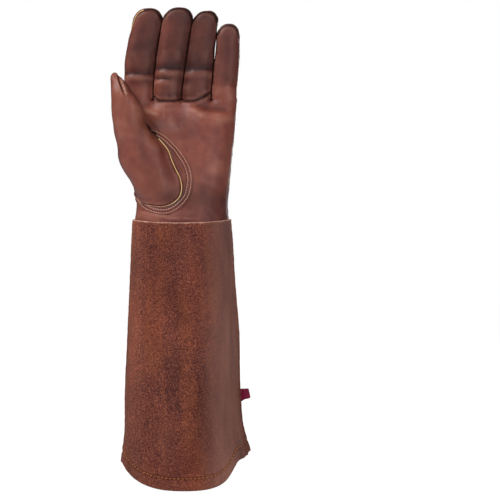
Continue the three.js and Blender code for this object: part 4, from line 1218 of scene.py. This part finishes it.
# %% Side tab
def ribbon_tab(reach=9.0, wide=13.0, fold=1.3):
    edge = cuff_point(np.float64(0.0), np.float64(TAB_Z))[0] - 0.6
    out = np.linspace(0, reach + 0.6 - fold, 12)
    bend = np.linspace(-np.pi / 2, np.pi / 2, 12)[1:-1]
    layer = np.c_[out, fold * (0.35 + 0.65 * ease(out / 5))]
    turn = np.c_[out[-1] + fold * np.cos(bend), fold * np.sin(bend)]
    path = even_steps(np.vstack([layer * [1, -1], turn, layer[::-1]]), 0.5)
    across = np.linspace(-0.5, 0.5, 22)
    points = []
    for x, y in path:
        curl = 0.35 * np.sin(across * np.pi * 1.3) * ease(x / 6)
        hang = np.where(across < -0.15, -0.15 - across, 0) * wide * 0.75 * ease(x / reach) ** 0.8
        share = 1 - 0.3 * np.clip(across + 0.2, 0, 1) ** 1.2 - 0.9 * np.clip(-0.2 - across, 0, 1)
        points.append(np.stack([edge + x * share, y + curl, TAB_Z + across * wide + hang + 0 * x], 1))
    return new_object("ribbon_side_tab", np.array(points).reshape(-1, 3), grid_faces(len(path), len(across)))


side_tab = ribbon_tab()
apply_modifier(side_tab, "SUBSURF", levels=1, render_levels=1)
finish_piece(side_tab, RIBBON, "side_tab", 40)
print("tab", len(side_tab.data.polygons), "faces")

# %% [markdown]
# ## Finishes
# Smooth leather is dyed through, sealed and slightly glossy: a fine grain, paler where folds rub, with painted
# highlights on the palm's rises, and painted shade in creases, over the fingers, where the surface turns away and
# on the darker copy for the strips between the fingers. Suede is the same hide split and brushed: no gloss, a
# mottled nap, with painted sheen on its paler front. Grain, blotches, and wear with crease shade are node groups,
# built once, so each finish only states its own colours and sizes.

# %% Node helpers
def fill(made, values):
    """Links a node's sockets, or sets those that are given a plain value."""
    for key, value in values.items():
        if isinstance(value, bpy.types.NodeSocket):
            made.id_data.links.new(value, made.inputs[key])
        else:
            made.inputs[key].default_value = value
    return made


def node(tree, kind, values=None, **settings):
    made = tree.nodes.new("ShaderNode" + kind)
    for key, value in settings.items():
        setattr(made, key, value)
    return fill(made, values or {})


def group(name, inputs, *outputs):
    """A new node group. Inputs without a number are colours, and so is the output called Color."""
    tree = bpy.data.node_groups.new(name, "ShaderNodeTree")
    for label, value in inputs.items():
        kind = "NodeSocketColor" if value is None else "NodeSocketFloat"
        socket = tree.interface.new_socket(label, in_out="INPUT", socket_type=kind)
        if value is not None:
            socket.default_value = value
    for label in outputs:
        kind = "NodeSocketColor" if label == "Color" else "NodeSocketFloat"
        tree.interface.new_socket(label, in_out="OUTPUT", socket_type=kind)
    return tree, tree.nodes.new("NodeGroupInput").outputs, tree.nodes.new("NodeGroupOutput")


def use(tree, shared, values=None):
    return node(tree, "Group", values, node_tree=shared).outputs


def blend(mask, low, high, mode="MIX"):
    """Mixes two colours by a mask."""
    return node(mask.id_data, "Mix", {0: mask, 6: low, 7: high}, data_type="RGBA", blend_type=mode).outputs[2]


def stretch(value, low, high, to_low=0.0, to_high=1.0):
    ends = {0: value, 1: low, 2: high, 3: to_low, 4: to_high}
    return node(value.id_data, "MapRange", ends, clamp=True).outputs[0]


def maths(operation, a, b):
    return node(a.id_data, "Math", {0: a, 1: b}, operation=operation).outputs[0]


def times(a, b):
    return maths("MULTIPLY", a, b)


def plus(a, b):
    return maths("ADD", a, b)


def place(tree, scale=(1, 1, 1)):
    return node(tree, "Mapping", {0: node(tree, "TexCoord").outputs["Object"], 3: scale}).outputs[0]


def mark(tree, name):
    """A value that the mesh carries, such as its creases."""
    return node(tree, "Attribute", attribute_name=name).outputs["Fac"]


def cloud(tree, scale, detail, rough=0.5, stretched=(1, 1, 1), bend=0.0):
    """Soft noise over the piece."""
    values = {"Vector": place(tree, stretched), "Scale": scale, "Detail": detail, "Roughness": rough}
    return node(tree, "TexNoise", {**values, "Distortion": bend}).outputs[0]


def bumped(tree, strength, distance, height):
    return node(tree, "Bump", {"Strength": strength, "Distance": distance, "Height": height}).outputs[0]


def colour(shown):
    """A colour as a screen shows it, 0 to 255, in the shader's own terms."""
    return tuple(((c / 255 + 0.055) / 1.055) ** 2.4 if c > 10 else c / 3294 for c in shown) + (1.0,)


# %% The shared effects
def make_blotches():
    """Three colours of a dyed hide in soft blotches."""
    tree, given, out = group("hide_blotches", {"Light": None, "Middle": None, "Dark": None, "Scale": 18.0},
                             "Color", "Mask")
    both = plus(times(cloud(tree, given["Scale"], 3.0), 0.65),
                times(cloud(tree, times(given["Scale"], 5.3), 4.0, 0.6), 0.35))
    low = blend(stretch(both, 0.36, 0.5), given["Dark"], given["Middle"])
    fill(out, {0: blend(stretch(both, 0.5, 0.64), low, given["Light"]), 1: both})
    return tree


def make_grain():
    """Pebbles and pores of leather, as a height."""
    tree, given, out = group("leather_grain", {"Scale": 1100.0}, "Height")
    where = place(tree)
    bend = node(tree, "TexNoise", {"Vector": where, "Scale": 240.0, "Detail": 2.0}).outputs["Color"]
    nudge = node(tree, "VectorMath", {0: bend, "Scale": 0.0022}, operation="SCALE").outputs[0]
    warped = node(tree, "VectorMath", {0: where, 1: nudge}, operation="ADD").outputs[0]
    cells, edges = (node(tree, "TexVoronoi", {"Vector": warped, "Scale": scale}, feature=kind).outputs[0]
                    for scale, kind in ((given["Scale"], "SMOOTH_F1"),
                                        (times(given["Scale"], 0.6), "DISTANCE_TO_EDGE")))
    pebbles = maths("SUBTRACT", times(stretch(edges, 0.0, 0.1), 0.3), times(cells, 0.7))
    fill(out, {0: plus(pebbles, times(cloud(tree, 3600.0, 2.0), 0.25))})
    return tree


def make_wear_and_shade():
    """Rubs the ridges paler, which also draws the painted highlights, paints shade into creases and darkens the
    sides of seams.
    """
    tree, given, out = group("wear_and_crease_shade", {"Color": None, "RubbedAndHighlight": None, "ShadeAndGrime": None, "Rub": 0.6, "Darken": 0.7},
                             "Color", "Crease")
    ridge = mark(tree, "ridge")
    high = times(stretch(ridge, 0.54, 0.95), stretch(cloud(tree, 70.0, 4.0), 0.25, 0.7))
    # painted shade in creases, and darker beside the seams
    dark = maths("MAXIMUM", stretch(ridge, 0.46, 0.08), times(mark(tree, "seam"), 0.75))
    rubbed_and_highlight = blend(times(high, given["Rub"]), given["Color"], given["RubbedAndHighlight"])
    fill(out, {0: blend(times(dark, given["Darken"]), rubbed_and_highlight, given["ShadeAndGrime"]), 1: dark})
    return tree


def make_nap():
    """Brushed fibres of suede: flecks for the colour and lumps for the height."""
    tree, _, out = group("suede_nap", {}, "Flecks", "Height")
    fibre = cloud(tree, 1700.0, 2.0, 0.7, (1.0, 1.0, 0.6), 0.6)
    tufts = cloud(tree, 760.0, 3.0, 0.65)
    fill(out, {k: plus(times(fibre, a), times(tufts, b)) for k, (a, b) in enumerate(((0.45, 0.55), (0.5, 0.6)))})
    return tree


def blank(name):
    material = bpy.data.materials.new(name)
    material.use_nodes = True
    return material, material.node_tree, material.node_tree.nodes["Principled BSDF"]


BLOTCHES, GRAIN, WEAR_AND_SHADE, NAP = make_blotches(), make_grain(), make_wear_and_shade(), make_nap()
print("shared effects", len(bpy.data.node_groups))


# %% Leather
def leather(name, light, middle, dark, rubbed_and_highlight, shade_and_grime):
    material, tree, shader = blank(name)
    hide = use(tree, BLOTCHES, {"Light": light, "Middle": middle, "Dark": dark, "Scale": 16.0})
    wear_and_shade = use(tree, WEAR_AND_SHADE, {"Color": hide["Color"], "RubbedAndHighlight": rubbed_and_highlight, "ShadeAndGrime": shade_and_grime})
    # painted shade, from the shade attribute
    deep = blend(mark(tree, "shade"), wear_and_shade["Color"], (0.26, 0.2, 0.2, 1), "MULTIPLY")
    # painted shade where the surface turns away from the view
    rim_shade = stretch(node(tree, "LayerWeight", {"Blend": 0.5}).outputs["Facing"], 0.55, 1.0, 0.0, 0.6)
    dull = plus(stretch(hide["Mask"], 0.3, 0.7, 0.5, 0.38), times(wear_and_shade["Crease"], 0.25))
    fill(shader, {"Base Color": blend(rim_shade, deep, (0.35, 0.28, 0.3, 1), "MULTIPLY"), "Roughness": dull,
                  "Normal": bumped(tree, 0.27, 0.0006, use(tree, GRAIN, {"Scale": 900.0})[0]),
                  "Specular IOR Level": 0.34})
    return material


# each leather's light, middle and dark colour, the colour of rubbed ridges and painted highlights, and the dark
# colour painted into creases and beside seams
# the second leather is a darker copy of the first: painted shade for the strips between the fingers
smooth_leather, dark_leather = (leather(name, *map(colour, shades)) for name, *shades in (
    ("smooth_leather", (147, 80, 63), (126, 65, 54), (98, 48, 46), (178, 122, 102), (44, 18, 18)),
    ("dark_leather", (98, 54, 49), (84, 44, 41), (68, 34, 33), (112, 70, 62), (40, 20, 20))))
print("leathers", smooth_leather.name, dark_leather.name)


# %% Suede
def suede():
    """Blotches, rust and dark streaks, flecks of nap, wear with painted shade in dents and beside seams, then the
    bald front with its painted sheen, the shade and the pale raw edge.
    """
    material, tree, shader = blank("suede")
    hide = use(tree, BLOTCHES, {"Light": colour((136, 70, 56)), "Middle": colour((114, 61, 52)),
                                "Dark": colour((92, 50, 46)), "Scale": 12.0})[0]
    streaks = cloud(tree, 62.0, 3.0, 0.55, (1.0, 1.0, 0.16))
    flecks, lumps = use(tree, NAP)
    for value, low, high, share, tint in (
            (streaks, 0.5, 0.68, 0.45, (152, 82, 52)), (streaks, 0.48, 0.32, 0.35, (84, 46, 44)),
            (flecks, 0.5, 0.4, 0.85, (50, 25, 24)), (flecks, 0.52, 0.62, 0.65, (196, 118, 84))):
        hide = blend(stretch(value, low, high, 0.0, share), hide, colour(tint))
    wear_and_shade = use(tree, WEAR_AND_SHADE, {"Color": hide, "RubbedAndHighlight": colour((164, 104, 82)), "ShadeAndGrime": colour((52, 26, 24)),
                                "Rub": 0.4, "Darken": 0.6})["Color"]
    # painted sheen: the front is paler and greyer where the nap is drawn smoother
    bald_sheen = blend(stretch(streaks, 0.35, 0.65), colour((132, 96, 90)), colour((166, 122, 108)))
    deep = blend(mark(tree, "shade"), blend(mark(tree, "smooth"), wear_and_shade, bald_sheen), (0.34, 0.27, 0.3, 1), "MULTIPLY")
    pale = blend(stretch(flecks, 0.38, 0.62), colour((180, 122, 104)), colour((226, 184, 164)))
    fill(shader, {"Base Color": blend(mark(tree, "raw"), deep, pale), "Normal": bumped(tree, 0.6, 0.0007, lumps),
                  "Roughness": 0.95, "Specular IOR Level": 0.12, "Sheen Weight": 0.22, "Sheen Roughness": 0.6,
                  "Sheen Tint": colour((200, 140, 115))})
    return material


suede_finish = suede()
print("suede", len(suede_finish.node_tree.nodes), "nodes")


# %% Piping, thread and ribbon
def thread(name, light, dark, faded=None):
    material, tree, shader = blank(name)
    twist = cloud(tree, 1500.0, 3.0)
    shown = blend(stretch(twist, 0.35, 0.65), colour(dark), colour(light))
    if faded:
        shown = blend(mark(tree, "faded"), shown, colour(faded))
    fill(shader, {"Base Color": shown, "Normal": bumped(tree, 0.3, 0.0002, twist), "Roughness": 0.55})
    return material


def ribbon():
    material, tree, shader = blank("woven_ribbon")
    rows, warp = (node(tree, "TexWave", {"Vector": place(tree), "Scale": scale, "Distortion": bend},
                       wave_type="BANDS", bands_direction=way).outputs["Fac"]
                  for scale, bend, way in ((320.0, 0.6, "Z"), (420.0, 0.4, "X")))
    weave = times(rows, warp)
    fill(shader, {"Base Color": blend(weave, colour((112, 12, 46)), colour((160, 34, 78))), "Roughness": 0.6,
                  "Normal": bumped(tree, 0.35, 0.0003, weave), "Specular IOR Level": 0.2})
    return material


piping = thread("gold_piping", (238, 200, 142), (214, 164, 104), (190, 132, 106))
finishes = [(patch, smooth_leather), (side_tab, ribbon()), (welt, piping), (thumb_seam, piping),
            (patch_thread, thread("rose_thread", (214, 164, 144), (184, 130, 112))),
            (elastic_thread, thread("brown_thread", (80, 38, 36), (56, 26, 25))),
            (hem_thread, thread("orange_thread", (208, 126, 66), (168, 92, 46))),
            (thumb_thread, thread("pale_thread", (226, 188, 162), (186, 138, 116)))]
finishes += [(piece, suede_finish) for piece in (cuff_front, cuff_back, hem)]
# the strips between the fingers take the darker copy, painted shade
finishes += [(piece, dark_leather if name.startswith("fourchette") else smooth_leather)
             for name, piece in hand_pieces.items()]
for piece, finish in finishes:
    piece.data.materials.clear()
    piece.data.materials.append(finish)
print(len(bpy.data.materials), "finishes")

# %% [markdown]
# ## Camera, floor and light
# The camera looks level from the palm side, as a catalogue picture does, from a little over a metre away. The
# light is broad and soft from the front, so that the leather shows gentle highlights and no hard shadow.

# %% Stage
camera = linked("camera", bpy.data.cameras.new("camera"))
camera.location = (0.065, -1.1, 0.2322)
camera.rotation_euler = (math.radians(90), 0, 0)
camera.data.lens = 79.2
camera.data.sensor_width = 36.0
bpy.context.scene.camera = camera

bpy.ops.object.select_all(action="DESELECT")
bpy.ops.mesh.primitive_circle_add(vertices=96, radius=4.0, fill_type="NGON", location=(0, 0, -0.0006))
floor = bpy.context.object
floor.name = "floor"
bpy.ops.object.transform_apply(location=True)
material, tree, shader = blank("pale_floor")
fill(shader, {"Base Color": (0.9, 0.9, 0.9, 1), "Roughness": 0.9})
glow = node(tree, "Emission", {"Color": (1, 1, 1, 1), "Strength": 1.09})
seen = times(node(tree, "LightPath").outputs["Is Camera Ray"], 0.9)
both = node(tree, "MixShader", {0: seen, 1: shader.outputs[0], 2: glow.outputs[0]})
fill(tree.nodes["Material Output"], {0: both.outputs[0]})
floor.data.materials.append(material)

# each light's place, what it looks at, its size in metres and its power in watts
for name, at, target, size, watts in (("key", (-0.75, -0.8, 1.15), (0, 0, 0.27), 0.5, 15),
                                      ("front", (0.7, -1.5, 0.5), (0, 0, 0.2), 0.8, 7),
                                      ("rear", (0.35, 1.5, 0.8), (0, 0, 0.25), 0.9, 22)):
    light = linked(name, bpy.data.lights.new(name, "AREA"))
    light.data.shape, light.data.size, light.data.energy = "DISK", size, watts
    light.location = at
    light.rotation_euler = (Vector(target) - Vector(at)).to_track_quat("-Z", "Y").to_euler()

world = bpy.data.worlds.new("studio")
bpy.context.scene.world = world
world.use_nodes = True
tree = world.node_tree
seen = stretch(node(tree, "LightPath").outputs["Is Camera Ray"], 0, 1, 0.14, 1.0)
fill(tree.nodes["Background"], {0: (1, 1, 1, 1), 1: seen})
bpy.context.scene.view_settings.view_transform = "Standard"
print("stage", len(bpy.data.lights), "lights")
